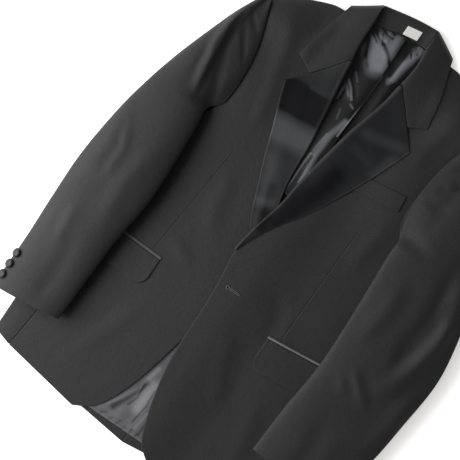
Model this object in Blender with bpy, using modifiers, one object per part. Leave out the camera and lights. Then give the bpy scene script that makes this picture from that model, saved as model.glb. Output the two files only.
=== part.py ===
"""A tailored dinner jacket laid flat on its back, modelled piece by piece as it is cut and sewn."""

import math

import bmesh
import bpy
from mathutils import Vector

# Lengths below are millimetres on the laid jacket: a is the distance out from the centre-front line,
# y runs from hem to collar and z is the height above the table. MM turns them into Blender's metres.
MM = 0.001
LEFT, RIGHT = 1, -1
SIDE_NAMES = {LEFT: "left", RIGHT: "right"}

# The sleeves reach out unevenly, so the middle of the whole jacket lies this far from its centre line.
MIDDLE_X, MIDDLE_Y = 22.2, 2.8

# Walls and clearances
CLOTH = 1.6
LINING = 1.0
LAPEL = 1.6
FLAP = 1.6
JET = 1.2
SEAM_GAP = 0.4
LAYER_GAP = 0.5
SHOULDER_GAP = 1.0
LAPEL_GAP = 1.0

# Heights of the layers
BACK_TOP = CLOTH
FRONT_REST = 4.2
LAP_RISE = 7.5
SLEEVE_REST = 10.4
FLOOR_REST = 0.6
NECK_LIFT = 2.8

# Landmarks along the jacket
UNDERARM_T = 0.6
LAPEL_BREAK_T = 0.425
SHOULDER_TURN_T = 0.93
WARP_SLOPE, WARP_REACH, WARP_START, WARP_RUN = 0.17, 140.0, 100.0, 200.0

# The back of the collar
STAND_FOOT = 5.4
COLLAR_RADIUS = 4.2

# Buttons
FRONT_BUTTON_A, FRONT_BUTTON_Y = 1.0, -104.0
FRONT_BUTTON_RADIUS, FRONT_BUTTON_HEIGHT = 10.5, 3.4
CUFF_BUTTON_RADIUS, CUFF_BUTTON_HEIGHT = 7.4, 5.0
CUFF_BUTTON_ROWS = (-232.0, -250.5, -269.0)
CUFF_BUTTON_ANGLE = 24.0
CUFF_BUTTON_STANDOFF = 0.5

COLOURS = {
    "wool": ((0.018, 0.018, 0.020), 0.85),
    "satin": ((0.012, 0.012, 0.015), 0.35),
    "lining": ((0.11, 0.11, 0.12), 0.40),
    "label": ((0.85, 0.85, 0.83), 0.70),
    "covered_button": ((0.015, 0.015, 0.018), 0.45),
}


def smooth(t):
    """Goes from 0 to 1 with no corner at either end."""
    t = min(max(t, 0.0), 1.0)
    return t * t * (3 - 2 * t)


def mix(a, b, t):
    return a + (b - a) * t


def bump(a, y, middle_a, middle_y, reach_a, reach_y):
    """A soft round hill of height 1."""
    return math.exp(-(((a - middle_a) / reach_a) ** 2) - ((y - middle_y) / reach_y) ** 2)


class Table:
    """Rows of numbers under named columns, read along the first with a smooth curve through the rest."""

    def __init__(self, names, rows):
        self.names = names.split()
        self.rows = rows

    def slope(self, k, column):
        low, high = max(k - 1, 0), min(k + 1, len(self.rows) - 1)
        run = self.rows[high][0] - self.rows[low][0]
        return (self.rows[high][column] - self.rows[low][column]) / run

    def at(self, name, place):
        column = self.names.index(name)
        place = min(max(place, self.rows[0][0]), self.rows[-1][0])
        k = 0
        while k < len(self.rows) - 2 and self.rows[k + 1][0] < place:
            k += 1
        start, end = self.rows[k], self.rows[k + 1]
        run = end[0] - start[0]
        t = (place - start[0]) / run
        rise = self.slope(k, column) * run
        fall = self.slope(k + 1, column) * run
        keep, pull = (1 + 2 * t) * (1 - t) ** 2, t * (1 - t) ** 2
        return (
            keep * start[column]
            + pull * rise
            + t * t * (3 - 2 * t) * end[column]
            + t * t * (t - 1) * fall
        )


# The inner edge of each front: rounded hem corner, front edge, lapel roll line and neck.
FRONT_EDGE = {
    RIGHT: Table(
        "t a y",
        [
            (0.00, 94, -383),
            (0.03, 66, -366),
            (0.06, 49, -340),
            (0.10, 33, -298),
            (0.15, 21, -252),
            (0.20, 13, -214),
            (0.275, 1, -160),
            (0.35, -12, -105),
            (0.425, -14, -50),
            (0.493, -4, 0),
            (0.556, 9, 46),
            (0.604, 16.5, 81),
            (0.69, 21, 136),
            (0.78, 28.5, 196),
            (0.83, 33.5, 229),
            (0.87, 38.5, 261),
            (0.91, 42, 291),
            (0.96, 52, 325),
            (1.00, 64, 347),
        ],
    ),
    LEFT: Table(
        "t a y",
        [
            (0.00, 50, -391),
            (0.03, 27, -373),
            (0.06, 15, -348),
            (0.10, 2, -306),
            (0.15, -8, -258),
            (0.20, -12, -214),
            (0.275, -13, -158),
            (0.35, -16, -106),
            (0.425, -22, -50),
            (0.493, -14, 0),
            (0.556, -3, 46),
            (0.604, 1, 80),
            (0.69, 11, 137),
            (0.78, 23, 193),
            (0.83, 33, 227),
            (0.87, 41, 258),
            (0.91, 46, 290),
            (0.96, 54, 325),
            (1.00, 64, 347),
        ],
    ),
}

# The outer edge of the front: side seam up to the underarm, then the armhole up to the shoulder point.
FRONT_OUTER = Table(
    "t a y",
    [
        (0.00, 224, -361),
        (0.10, 217, -288),
        (0.25, 208, -178),
        (0.40, 198, -68),
        (0.50, 200, 5),
        (0.60, 206, 78),
        (0.655, 179, 96),
        (0.71, 164, 127),
        (0.775, 161.5, 168),
        (0.85, 166, 215),
        (0.90, 174, 246),
        (0.955, 186, 279),
        (1.00, 195, 302),
    ],
)

# The side panel wraps round the side of the body, from the front's seam on top to the back's seam below.
SIDE_PANEL = Table(
    "t edge_a edge_y",
    [
        (0.00, 256, -352),
        (0.15, 256, -251),
        (0.30, 250, -142),
        (0.45, 240, -32),
        (0.60, 245, 78),
    ],
)

# The back, from hem to shoulder line: height on the centre seam, and the outer edge.
BACK = Table(
    "t middle_y a y",
    [
        (0.00, -387, 222, -361),
        (0.15, -268, 214, -252),
        (0.30, -160, 204, -142),
        (0.45, -48, 198, -32),
        (0.60, 65, 212, 78),
        (0.68, 130, 190, 112),
        (0.78, 210, 173, 170),
        (0.89, 290, 177, 240),
        (1.00, 350, 194, 300),
    ],
)

# The shoulder seam bows out beyond a straight line from neck to sleeve, by this much at each place.
SHOULDER_BOW = Table(
    "a rise",
    [
        (60, 0),
        (87, 11),
        (107, 17),
        (140, 14),
        (165, 9),
        (182, 4),
        (195, 0),
    ],
)
SHOULDER_BOW_T, SHOULDER_BOW_RUN = 0.88, 0.12

# Each lapel lies folded back from its roll line to its free edge, along the same rows as its front.
# The last row is the gorge seam and peak.
LAPEL_ROWS = {
    RIGHT: Table(
        "t edge_a edge_y",
        [
            (0.425, -6, -45),
            (0.49, 26, -5),
            (0.57, 50, 50),
            (0.65, 69, 99),
            (0.73, 81, 135),
            (0.81, 95, 174),
            (0.905, 106, 208),
        ],
    ),
    LEFT: Table(
        "t edge_a edge_y",
        [
            (0.425, -19, -42),
            (0.49, 4, 4),
            (0.57, 38, 56),
            (0.65, 60, 98),
            (0.73, 80, 138),
            (0.81, 98, 178),
            (0.905, 112, 212),
        ],
    ),
}

# Each end of the collar lies on its front, from the roll line out to the free edge. gorge says how closely a
# row follows the seam to the lapel, and drop how far the collar has come down past the shoulder.
COLLAR_LEAF = Table(
    "t roll_a roll_y edge_a edge_y gorge drop",
    [
        (0.00, 41, 288, 110, 257, 1.0, 0.0),
        (0.10, 43, 298, 107, 272, 0.6, 0.0),
        (0.25, 45, 315, 103, 293, 0.1, 0.0),
        (0.45, 46, 336, 97, 322, 0, 0.0),
        (0.62, 46, 358, 91, 344, 0, 0.10),
        (0.74, 46, 378, 88, 356, 0, 0.25),
        (0.82, 46, 387, 87, 362, 0, 0.55),
        (0.88, 46, 389, 87, 364, 0, 0.82),
        (0.93, 46, 387, 86, 362, 0, 1.00),
        (1.00, 46, 366, 80, 342, 0, 1.00),
    ],
)

# The notch starts this far along the collar's end. The left end lies a little further out than the right.
NOTCH_SHARE = {RIGHT: 0.571, LEFT: 0.615}
COLLAR_SHIFT = {RIGHT: 0.0, LEFT: 4.0}

# Sections of each sleeve tube from cuff to shoulder: how far in and out it reaches and how high its crown is.
SLEEVE = {
    RIGHT: Table(
        "y inner outer crown skew round",
        [
            (-290, 182, 292, 41, -6, 2.2),
            (-204, 179, 291, 45, -4, 2.2),
            (-140, 176, 293, 47, -2, 2.2),
            (-60, 168, 293.5, 50, 0, 2.2),
            (31, 171, 284, 50, 0, 2.2),
            (92, 177, 272, 47, 0, 2.2),
            (130, 188, 263, 44, 0, 2.1),
            (168, 195, 251.5, 41, 0, 2.0),
            (210, 199, 237.5, 37, 0, 2.0),
            (246, 200, 225, 32, 0, 2.0),
            (275, 197, 212.5, 26, 0, 2.0),
            (292, 194, 204, 20, 0, 2.0),
            (302, 192.5, 198, 13, 0, 2.0),
        ],
    ),
    LEFT: Table(
        "y inner outer crown skew round",
        [
            (-285, 167, 299, 30, -4, 2.8),
            (-204, 171, 323, 31, -3, 2.8),
            (-126, 178, 333, 32, -1, 2.8),
            (-44, 177, 339.5, 33, 0, 2.8),
            (29, 173, 329, 33, 0, 2.8),
            (92, 171, 312, 33, 0, 2.7),
            (130, 180, 298, 32, 0, 2.5),
            (168, 190, 281, 32, 0, 2.3),
            (210, 196, 260, 31, 0, 2.1),
            (246, 199, 241, 29, 0, 2.0),
            (275, 197, 221, 25, 0, 2.0),
            (292, 194, 207, 20, 0, 2.0),
            (302, 192.5, 198, 13, 0, 2.0),
        ],
    ),
}

# Where the sleeve is sewn to the front of the armhole and to the back of it.
ARMHOLE = Table(
    "y front_a back_a",
    [
        (78, 190, 214),
        (96, 180, 204),
        (112, 170, 192),
        (127, 163.5, 184),
        (168, 161, 174),
        (215, 165.5, 174),
        (246, 173.5, 180),
        (279, 185.5, 191.5),
        (302, 194.5, 198),
    ],
)

# The deepest folds of the sleeves, as ridges between two points. A negative height is a groove.
SLEEVE_FOLDS = (
    # side, from a, from y, to a, to y, reach, height
    (LEFT, 258, 30, 264, -130, 15, 4.5),
    (LEFT, 288, 60, 300, -70, 17, -4.0),
    (LEFT, 222, -20, 200, -120, 15, 3.5),
    (LEFT, 232, 150, 250, 60, 18, -4.5),
    (RIGHT, 214, 250, 205, 100, 12, 3.5),
    (RIGHT, 262, -40, 248, -120, 16, 2.5),
    (RIGHT, 178, 236, 178, 170, 9, -4.0),
)

# Pockets: each hip flap's front end, its slope and depth, and the breast welt's ends.
FLAP_ROWS = {
    # side: front a, front y, rise over its length, depth
    RIGHT: (107.0, -127.5, 5.0, 50.0),
    LEFT: (93.0, -133.5, 13.5, 52.0),
}
FLAP_LENGTH = 128.0
FLAP_CORNER = 20.0
JET_HEIGHT = 4.8
WELT_INNER, WELT_OUTER = (62.0, 122.5), (147.0, 133.5)
WELT_HEIGHT = 25.0
WELT_UNDER_LAPEL = (72.0, 137.0)
WELT_RAISE, WELT_REACH = 1.9, 34.0

# The neck label hangs from the collar seam.
LABEL_MIDDLE = (14.0, 368.0)
LABEL_SIZE = (24.0, 15.0)
LABEL_WALL = 1.0

# The back lining has a pleat down its middle, with its folded edge at this distance from the centre.
PLEAT_EDGE = 12.0


def warp(x, y):
    """The neck was laid a little turned, so its left side sits higher than its right."""
    turn = math.exp(-((x / WARP_REACH) ** 2)) * smooth((y - WARP_START) / WARP_RUN)
    return y + WARP_SLOPE * x * turn


def laid(side, a, y, z):
    """A point of the laid jacket, in metres."""
    x = side * a
    return Vector((x * MM, warp(x, y) * MM, z * MM))


def neck_lift(a, y):
    """The back's neck rests on the turned-down collar."""
    return NECK_LIFT * smooth((y - 308) / 22) * smooth((118 - abs(a)) / 26)


def front_under(side, a, y):
    """The underside of a front: chest, shoulder and neck stand up, and the left one laps over the right."""
    z = FRONT_REST
    z += 11 * bump(a, y, 138, 172, 70, 90)
    z += 13 * bump(a, y, 160, 288, 60, 46)
    z += 8 * bump(a, y, 44, 318, 40, 62)
    if side == LEFT:
        z += LAP_RISE * smooth((100 - a) / 84) * smooth((285 - y) / 110)
    return z


def front_top(side, a, y):
    return front_under(side, a, y) + CLOTH


def ridge(a, y, start_a, start_y, end_a, end_y, reach, height):
    """A soft ridge along a line that fades out at both ends."""
    run_a, run_y = end_a - start_a, end_y - start_y
    length = math.hypot(run_a, run_y)
    along = ((a - start_a) * run_a + (y - start_y) * run_y) / length
    across = ((a - start_a) * run_y - (y - start_y) * run_a) / length
    fade = smooth((along + reach) / (2 * reach)) * smooth((length + reach - along) / (2 * reach))
    return height * fade * math.exp(-((across / reach) ** 2))


def sleeve_folds(side, a, y):
    return sum(ridge(a, y, *fold) for of, *fold in SLEEVE_FOLDS if of == side)


def sleeve_low(a, y):
    """The height a sleeve's underside rests at: over the body, over its edge, or on the table."""
    over_body = mix(SLEEVE_REST, 4.0, smooth((a - 252) / 30))
    return mix(over_body, FLOOR_REST, smooth((y - 88) / 42))


def even(count):
    return [k / count for k in range(count + 1)]


MATERIALS = {}


def material(name):
    """One Principled material for each finish."""
    if name not in MATERIALS:
        colour, roughness = COLOURS[name]
        made = bpy.data.materials.new(name)
        made.use_nodes = True
        shader = made.node_tree.nodes["Principled BSDF"]
        shader.inputs["Base Color"].default_value = (*colour, 1.0)
        shader.inputs["Roughness"].default_value = roughness
        shader.inputs["Metallic"].default_value = 0.0
        MATERIALS[name] = made
    return MATERIALS[name]


def add_object(name, mesh, finish):
    mesh.shade_smooth()
    mesh.set_sharp_from_angle(angle=math.radians(50))
    made = bpy.data.objects.new(name, mesh)
    made.data.materials.append(material(finish))
    made.parent = JACKET
    PARTS.objects.link(made)
    return made


def wall(name, across, along, place, thickness, finish, outwards=True, flip=False):
    """A cloth wall: a flat grid moved to its place on the jacket, then given its thickness.

    place(s, t) gives the point for each pair from the two lists. The thickness goes up and out from
    the points where outwards is true, and down and in where it is false.
    """
    grid = bmesh.new()
    bmesh.ops.create_grid(grid, x_segments=len(across) - 1, y_segments=len(along) - 1, size=0.5)
    for vertex in grid.verts:
        s = across[round((vertex.co.x + 0.5) * (len(across) - 1))]
        t = along[round((vertex.co.y + 0.5) * (len(along) - 1))]
        vertex.co = place(s, t)
    if flip:
        bmesh.ops.reverse_faces(grid, faces=grid.faces)
    mesh = bpy.data.meshes.new(name)
    grid.to_mesh(mesh)
    grid.free()
    made = add_object(name, mesh, finish)
    thicken = made.modifiers.new("wall", "SOLIDIFY")
    thicken.thickness = thickness * MM
    thicken.offset = 1 if outwards else -1
    return made


def shoulder_height(t, full, edge):
    """Round over the shoulder: full height before the turn, down to the edge at t = 1."""
    over = min(max((t - SHOULDER_TURN_T) / (1 - SHOULDER_TURN_T), 0.0), 1.0)
    return edge + (full - edge) * math.sqrt(max(1 - over * over, 0.0))


SEAM_ROWS = [0, 0.02, 0.045, 0.075, 0.11, 0.15, 0.20, 0.26, 0.32, 0.375, 0.425, 0.47, 0.515, 0.56, UNDERARM_T]
LAPEL_ROWS_T = [0.64, 0.68, 0.72, 0.765, 0.81, 0.86, 0.905]
SHOULDER_ROWS = [0.93, 0.955, 0.975, 0.99, 1.0]


def shoulder_bow(a, t):
    return SHOULDER_BOW.at("rise", a) * smooth((t - SHOULDER_BOW_T) / SHOULDER_BOW_RUN)


def front_point(side, s, t):
    edge, outer = FRONT_EDGE[side], FRONT_OUTER
    a = mix(edge.at("a", t), outer.at("a", t), s)
    y = mix(edge.at("y", t), outer.at("y", t), s) + shoulder_bow(a, t)
    rest = BACK_TOP + SHOULDER_GAP + neck_lift(a, y)
    return a, y, shoulder_height(t, front_under(side, a, y), rest)


def make_front(side):
    wall(
        f"front_{SIDE_NAMES[side]}",
        even(10),
        SEAM_ROWS + LAPEL_ROWS_T + SHOULDER_ROWS,
        lambda s, t: laid(side, *front_point(side, s, t)),
        CLOTH,
        "wool",
        flip=side == RIGHT,
    )


def side_panel_point(side, s, t):
    """Along the top from the front's seam, round the body's edge and back underneath to the back's seam."""
    seam_a, seam_y, seam_z = front_point(side, 1.0, t)
    seam_a += SEAM_GAP
    edge_a, edge_y = SIDE_PANEL.at("edge_a", t), SIDE_PANEL.at("edge_y", t)
    back_a, back_y = BACK.at("a", t) + SEAM_GAP, BACK.at("y", t)
    top = seam_z + CLOTH
    radius = (FRONT_REST + CLOTH) / 2
    if s <= 0.3:
        share = s / 0.3
        a = mix(seam_a, edge_a - radius, share)
        return a, mix(seam_y, edge_y, share), mix(top, 2 * radius, smooth(share))
    if s <= 0.7:
        turn = math.pi * (s - 0.3) / 0.4
        a = edge_a - radius + radius * math.sin(turn)
        return a, edge_y, radius + radius * math.cos(turn)
    share = (s - 0.7) / 0.3
    return mix(edge_a - radius, back_a, share), mix(edge_y, back_y, share), 0.0


def make_side_panel(side):
    wall(
        f"side_{SIDE_NAMES[side]}",
        [0, 0.15, 0.3, 0.4, 0.5, 0.6, 0.7, 1.0],
        SEAM_ROWS,
        lambda s, t: laid(side, *side_panel_point(side, s, t)),
        CLOTH,
        "wool",
        outwards=False,
        flip=side == RIGHT,
    )


def back_point(side, s, t):
    """The neck stays level across the first third, and the shoulder slopes off beyond it."""
    a = mix(SEAM_GAP / 2, BACK.at("a", t), s)
    level = max(0.0, (s - 0.33) / 0.67)
    share = mix(s, level, smooth((t - 0.7) / 0.3))
    y = mix(BACK.at("middle_y", t), BACK.at("y", t), share) + shoulder_bow(a, t)
    return a, y, neck_lift(a, y)


def make_back(side):
    wall(
        f"back_{SIDE_NAMES[side]}",
        even(6),
        SEAM_ROWS + [0.64, 0.69, 0.74, 0.79, 0.84, 0.88, 0.92, 0.96, 1.0],
        lambda s, t: laid(side, *back_point(side, s, t)),
        CLOTH,
        "wool",
        flip=side == RIGHT,
    )


def rolled(s, roll, edge, under, top, start_angle):
    """A point of a leaf that rolls out of the edge below it and lies back over the front.

    It goes round the roll from start_angle until s reaches ROLL_END, and then out from roll to edge.
    """
    radius = (top(roll) - under) / 2
    middle = under + radius
    if s <= ROLL_END:
        turn = math.radians(mix(start_angle, -90, s / ROLL_END))
        push = radius * math.cos(turn)
        a = roll[0] - SEAM_GAP - max(push, 0.0)
        return a, roll[1], middle - radius * math.sin(turn)
    share = (s - ROLL_END) / (1 - ROLL_END)
    a, y = mix(roll[0] - SEAM_GAP, edge[0], share), mix(roll[1], edge[1], share)
    return a, y, top((a, y, share))


def lapel_point(side, s, t):
    rows = LAPEL_ROWS[side]
    roll = FRONT_EDGE[side].at("a", t), FRONT_EDGE[side].at("y", t), 0.0
    edge = rows.at("edge_a", t), rows.at("edge_y", t)
    puff = mix(0.6, 4.6, smooth((t - 0.54) / 0.3))

    def top(at):
        share = at[2]
        lift = puff * (1 - share) ** 1.6
        if side == LEFT:
            lift += WELT_RAISE * bump(at[0], at[1], *WELT_UNDER_LAPEL, WELT_REACH, WELT_REACH)
        return front_top(side, at[0], at[1]) + LAPEL_GAP + LAPEL + lift

    under = front_under(side, roll[0], roll[1])
    return rolled(s, roll, edge, under, top, ROLL_START_ANGLE)


ROLL_END = 0.3
ROLL_STEPS = [0, 0.1, 0.2, ROLL_END, 0.42, 0.56, 0.70, 0.85, 1.0]
ROLL_START_ANGLE = 60


def make_lapel(side):
    wall(
        f"lapel_{SIDE_NAMES[side]}",
        ROLL_STEPS,
        SEAM_ROWS[SEAM_ROWS.index(LAPEL_BREAK_T) :] + LAPEL_ROWS_T,
        lambda s, t: laid(side, *lapel_point(side, s, t)),
        LAPEL,
        "satin",
        outwards=False,
        flip=side == RIGHT,
    )


def gorge_y(side, a):
    """The seam that joins the collar to the lapel runs on along the lapel's top edge."""
    last = LAPEL_ROWS_T[-1]
    roll_a, roll_y = FRONT_EDGE[side].at("a", last) - SEAM_GAP, FRONT_EDGE[side].at("y", last)
    peak_a, peak_y = LAPEL_ROWS[side].at("edge_a", last), LAPEL_ROWS[side].at("edge_y", last)
    return mix(roll_y, peak_y, (a - roll_a) / (peak_a - roll_a))


def collar_leaf_point(side, s, t):
    """The leaf lies on its front, and its upper end turns down round the shoulder's edge."""
    rows = COLLAR_LEAF
    shift = COLLAR_SHIFT[side] * (1 - smooth((t - 0.3) / 0.4))
    roll = rows.at("roll_a", t) + shift, rows.at("roll_y", t) + SEAM_GAP, 0.0
    edge = rows.at("edge_a", t) + shift, rows.at("edge_y", t) - shift
    drop = rows.at("drop", t)

    def top(at):
        share = at[2]
        height = front_top(side, at[0], min(at[1], 330)) + LAPEL_GAP + LAPEL
        height += mix(4.6, 0.8, share)
        return mix(height, 0.4, smooth(drop))

    under = mix(front_under(side, roll[0], min(roll[1], 330)), 0.0, smooth(drop))
    start_angle = mix(ROLL_START_ANGLE, -70, smooth((t - 0.5) / 0.2))
    a, y, z = rolled(s, roll, edge, under, top, start_angle)
    share = (s - ROLL_END) / (1 - ROLL_END)
    if share > 0:
        at_notch = min(share, NOTCH_SHARE[side])
        notch_a, notch_y = mix(roll[0] - SEAM_GAP, edge[0], at_notch), mix(roll[1], edge[1], at_notch)
        down = max(notch_y - gorge_y(side, notch_a) - SEAM_GAP, 0.0)
        y -= rows.at("gorge", t) * down * (1 - share) / (1 - at_notch)
    return a, y, z


def make_collar_leaf(side):
    wall(
        f"collar_{SIDE_NAMES[side]}",
        ROLL_STEPS,
        [0, 0.1, 0.2, 0.32, 0.45, 0.56, 0.66, 0.74, 0.80, 0.85, 0.89, 0.93, 1.0],
        lambda s, t: laid(side, *collar_leaf_point(side, s, t)),
        LAPEL,
        "wool",
        outwards=False,
        flip=side == RIGHT,
    )


def stand_height(y):
    """The top of the collar's stand, rising from the neck seam to the fold."""
    return mix(STAND_FOOT, 2 * COLLAR_RADIUS, smooth((y - 355) / 30))


def collar_back_point(s, t):
    """Up the stand from the neck seam, over the fold and back underneath as the turned-down fall."""
    a = mix(-43.5, 43.5, s)
    radius = COLLAR_RADIUS
    fold_y = 391 - 4 * (a / 43.5) ** 2
    stand_y = lining_top_y(a) + 2 * SEAM_GAP
    if t <= 0.4:
        y = mix(stand_y, fold_y - radius, t / 0.4)
        return a, y, stand_height(y)
    if t <= 0.7:
        turn = math.pi * (t - 0.4) / 0.3
        return a, fold_y - radius + radius * math.sin(turn), radius + radius * math.cos(turn)
    share = (t - 0.7) / 0.3
    return a, mix(fold_y - radius, 342, share), 0.0


def make_collar_back():
    wall(
        "collar_back",
        even(7),
        [0, 0.13, 0.27, 0.4, 0.475, 0.55, 0.625, 0.7, 0.85, 1.0],
        lambda s, t: laid(LEFT, *collar_back_point(s, t)),
        LAPEL,
        "wool",
        outwards=False,
    )


# Where round the sleeve each piece has its rows, as angles on its section
TOP_ANGLES = [208, 199, 190, 180, 168, 152, 134, 113, 90, 67, 46, 28, 13, 1, -9, -18, -28]
UNDER_ANGLES = [-31, -42, -62, -90, -118, -138, -149]


def sleeve_ring(side, angle, y):
    """A point of the sleeve's outside: at 180 degrees its edge near the body, at 90 its crown."""
    rows = SLEEVE[side]
    inner, outer = rows.at("inner", y), rows.at("outer", y)
    crown = rows.at("crown", y)
    power = 2 / rows.at("round", y)
    turn = math.radians(angle)
    reach = math.copysign(abs(math.cos(turn)) ** power, math.cos(turn))
    rise = math.copysign(abs(math.sin(turn)) ** power, math.sin(turn))
    a = (inner + outer) / 2 + (outer - inner) / 2 * reach
    row_y = y + rows.at("skew", y) * reach
    low = sleeve_low(a, y)
    middle = (crown + sleeve_low((inner + outer) / 2, y)) / 2
    if rise >= 0:
        z = middle + (crown - middle) * rise
        z += sleeve_folds(side, a, row_y) * min(rise * 1.6, 1.0)
    else:
        z = middle + (middle - low) * rise
    return a, row_y, z


def top_sleeve_point(side, angle, y):
    """Above the underarm the top sleeve starts on the front's armhole, and below it on the underside."""
    a, row_y, z = sleeve_ring(side, angle, y)
    pinned = smooth((y - 92) / 26) * smooth((angle - 128) / 80)
    if pinned > 0:
        seam_a = ARMHOLE.at("front_a", y) - 2.0
        start = sleeve_ring(side, TOP_ANGLES[0], y)
        seam_z = front_top(side, seam_a, y) + LAYER_GAP + CLOTH + 0.3
        seam_z = mix(seam_z, 9.5, smooth((y - 290) / 12))
        a += (seam_a - start[0]) * pinned
        z += (seam_z - start[2]) * pinned
    return a, row_y, z


def under_sleeve_point(side, angle, y):
    """The under sleeve closes the tube from below, and meets the back's armhole above the underarm."""
    a, row_y, z = sleeve_ring(side, angle, y)
    pinned = smooth((y - 92) / 26) * smooth((-55 - angle) / 94)
    if pinned > 0:
        seam_a = ARMHOLE.at("back_a", y) + SEAM_GAP + 0.8
        last = sleeve_ring(side, UNDER_ANGLES[-1], y)
        a += (seam_a - last[0]) * pinned
        z += (FLOOR_REST - last[2]) * pinned
    return a, row_y, max(z, FLOOR_REST)


def sleeve_rows(side):
    """Even rows up the arm, and closer ones round the armhole."""
    cuff, top = SLEEVE[side].rows[0][0], SLEEVE[side].rows[-1][0]
    arm = [mix(cuff, 90, k / 15) for k in range(16)]
    cap = [mix(90, top, k / 11) for k in range(1, 12)]
    return arm + cap


def make_sleeve(side):
    rows = sleeve_rows(side)
    wall(
        f"sleeve_top_{SIDE_NAMES[side]}",
        TOP_ANGLES,
        rows,
        lambda angle, y: laid(side, *top_sleeve_point(side, angle, y)),
        CLOTH,
        "wool",
        outwards=False,
        flip=side == RIGHT,
    )
    wall(
        f"sleeve_under_{SIDE_NAMES[side]}",
        UNDER_ANGLES,
        rows,
        lambda angle, y: laid(side, *under_sleeve_point(side, angle, y)),
        CLOTH,
        "wool",
        outwards=False,
        flip=side == RIGHT,
    )


def flap_line(side, share):
    """A point of the pocket line, and how high the front's cloth is there."""
    a, y, rise, _ = FLAP_ROWS[side]
    return a + FLAP_LENGTH * share, y + rise * share


def flap_point(side, s, t):
    depth = FLAP_ROWS[side][3]
    a, top_y = flap_line(side, s)
    to_end = min(s, 1 - s) * FLAP_LENGTH
    corner = max(0.0, 1 - to_end / FLAP_CORNER)
    depth -= FLAP_CORNER * (1 - math.sqrt(max(0.0, 1 - corner * corner)))
    y = top_y - depth * (1 - t)
    return a, y, front_top(side, a, y) + LAYER_GAP


def jet_point(side, s, t):
    a, top_y = flap_line(side, s)
    y = top_y + SEAM_GAP + JET_HEIGHT * t
    return a, y, front_top(side, a, y) + LAYER_GAP


def make_hip_pocket(side):
    wall(
        f"flap_{SIDE_NAMES[side]}",
        [0, 0.03, 0.08, 0.16, 0.35, 0.5, 0.65, 0.84, 0.92, 0.97, 1.0],
        even(3),
        lambda s, t: laid(side, *flap_point(side, s, t)),
        FLAP,
        "wool",
        flip=side == RIGHT,
    )
    wall(
        f"jet_{SIDE_NAMES[side]}",
        even(8),
        even(1),
        lambda s, t: laid(side, *jet_point(side, s, t)),
        JET,
        "satin",
        flip=side == RIGHT,
    )


def welt_point(s, t):
    a = mix(WELT_INNER[0], WELT_OUTER[0], s) - 2.0 * t * s
    y = mix(WELT_INNER[1], WELT_OUTER[1], s) + WELT_HEIGHT * t
    return a, y, front_top(LEFT, a, y) + LAYER_GAP


def make_breast_welt():
    wall("breast_welt", even(5), even(2), lambda s, t: laid(LEFT, *welt_point(s, t)), JET, "wool")


def gathers(x, y):
    """The lining's fullness, caught in small tucks where it is sewn to the neck."""
    near_seam = smooth((y - 292) / 50)
    waves = 0.5 + 0.5 * math.sin(x / 13.5 * 2 * math.pi + y / 28)
    return waves * near_seam * smooth((56 - abs(x)) / 16)


LINING_LOW, PLEAT_LAP, PLEAT_RISE = 62.0, 2.2, 3.4


def lining_top_y(x):
    return 357 - 6 * (x / 60) ** 2


def neck_lining_point(half, s, t):
    """The right half lies over the left at the pleat. Both rest on the back and slip under the fronts."""
    reach = mix(75, 56, smooth((t - 0.6) / 0.3))
    if half == RIGHT:
        x = mix(-reach, PLEAT_EDGE, s)
    else:
        x = mix(PLEAT_EDGE - 14, reach, s)
    y = mix(LINING_LOW, lining_top_y(x), t)
    z = BACK_TOP + LAYER_GAP + neck_lift(x, y) + 0.2 * smooth((y - 300) / 30)
    if half == RIGHT:
        z += mix(PLEAT_LAP, PLEAT_RISE, smooth((y - LINING_LOW) / 60)) * smooth((x + 26) / 34)
        z += 2.4 * gathers(x, y)
    else:
        z += 2.4 * gathers(x + 4, y) * smooth((x - 12) / 12)
        z += 2.2 * bump(x, y, 33, 250, 10, 70)
    return x, y, z


def make_neck_lining(half):
    wall(
        f"lining_neck_{SIDE_NAMES[half]}",
        even(13),
        [0, 0.12, 0.24, 0.36, 0.48, 0.58, 0.67, 0.75, 0.81, 0.86, 0.91, 0.955, 1.0],
        lambda s, t: laid(LEFT, *neck_lining_point(half, s, t)),
        LINING,
        "lining",
    )


def hem_lining_point(s, t):
    """The lining shows between the cut-away fronts, slack above its stitched edge."""
    x = mix(-92, 60, s)
    y = mix(-371, -196, t)
    z = BACK_TOP + LAYER_GAP
    z += 3.0 * bump(x, y, 6, -322, 16, 46) + 1.6 * bump(x, y, -24, -348, 10, 18)
    return x, y, z


def make_hem_lining():
    wall("lining_hem", even(12), even(10), lambda s, t: laid(LEFT, *hem_lining_point(s, t)), LINING, "lining")


def make_label():
    """A plain woven label, hung over the collar seam."""

    def place(s, t):
        x = LABEL_MIDDLE[0] + LABEL_SIZE[0] * (s - 0.5)
        y = LABEL_MIDDLE[1] + LABEL_SIZE[1] * (t - 0.5)
        return laid(LEFT, x, y, stand_height(y) + LAYER_GAP)

    wall("neck_label", even(2), even(2), place, LABEL_WALL, "label")


def button_mesh(name, radius, height):
    """A cloth-covered button: a low turned dome with a rounded rim."""
    form = bmesh.new()
    bmesh.ops.create_cone(
        form,
        cap_ends=True,
        segments=16,
        radius1=radius * 0.80 * MM,
        radius2=radius * 0.62 * MM,
        depth=height * MM,
    )
    waist = [edge for edge in form.edges if abs(edge.verts[0].co.z - edge.verts[1].co.z) > height * MM / 2]
    bmesh.ops.subdivide_edges(form, edges=waist, cuts=1)
    for vertex in form.verts:
        if abs(vertex.co.z) < height * MM / 4:
            stretch = radius * MM / math.hypot(vertex.co.x, vertex.co.y)
            vertex.co.x *= stretch
            vertex.co.y *= stretch
    mesh = bpy.data.meshes.new(name)
    form.to_mesh(mesh)
    form.free()
    return mesh


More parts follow.
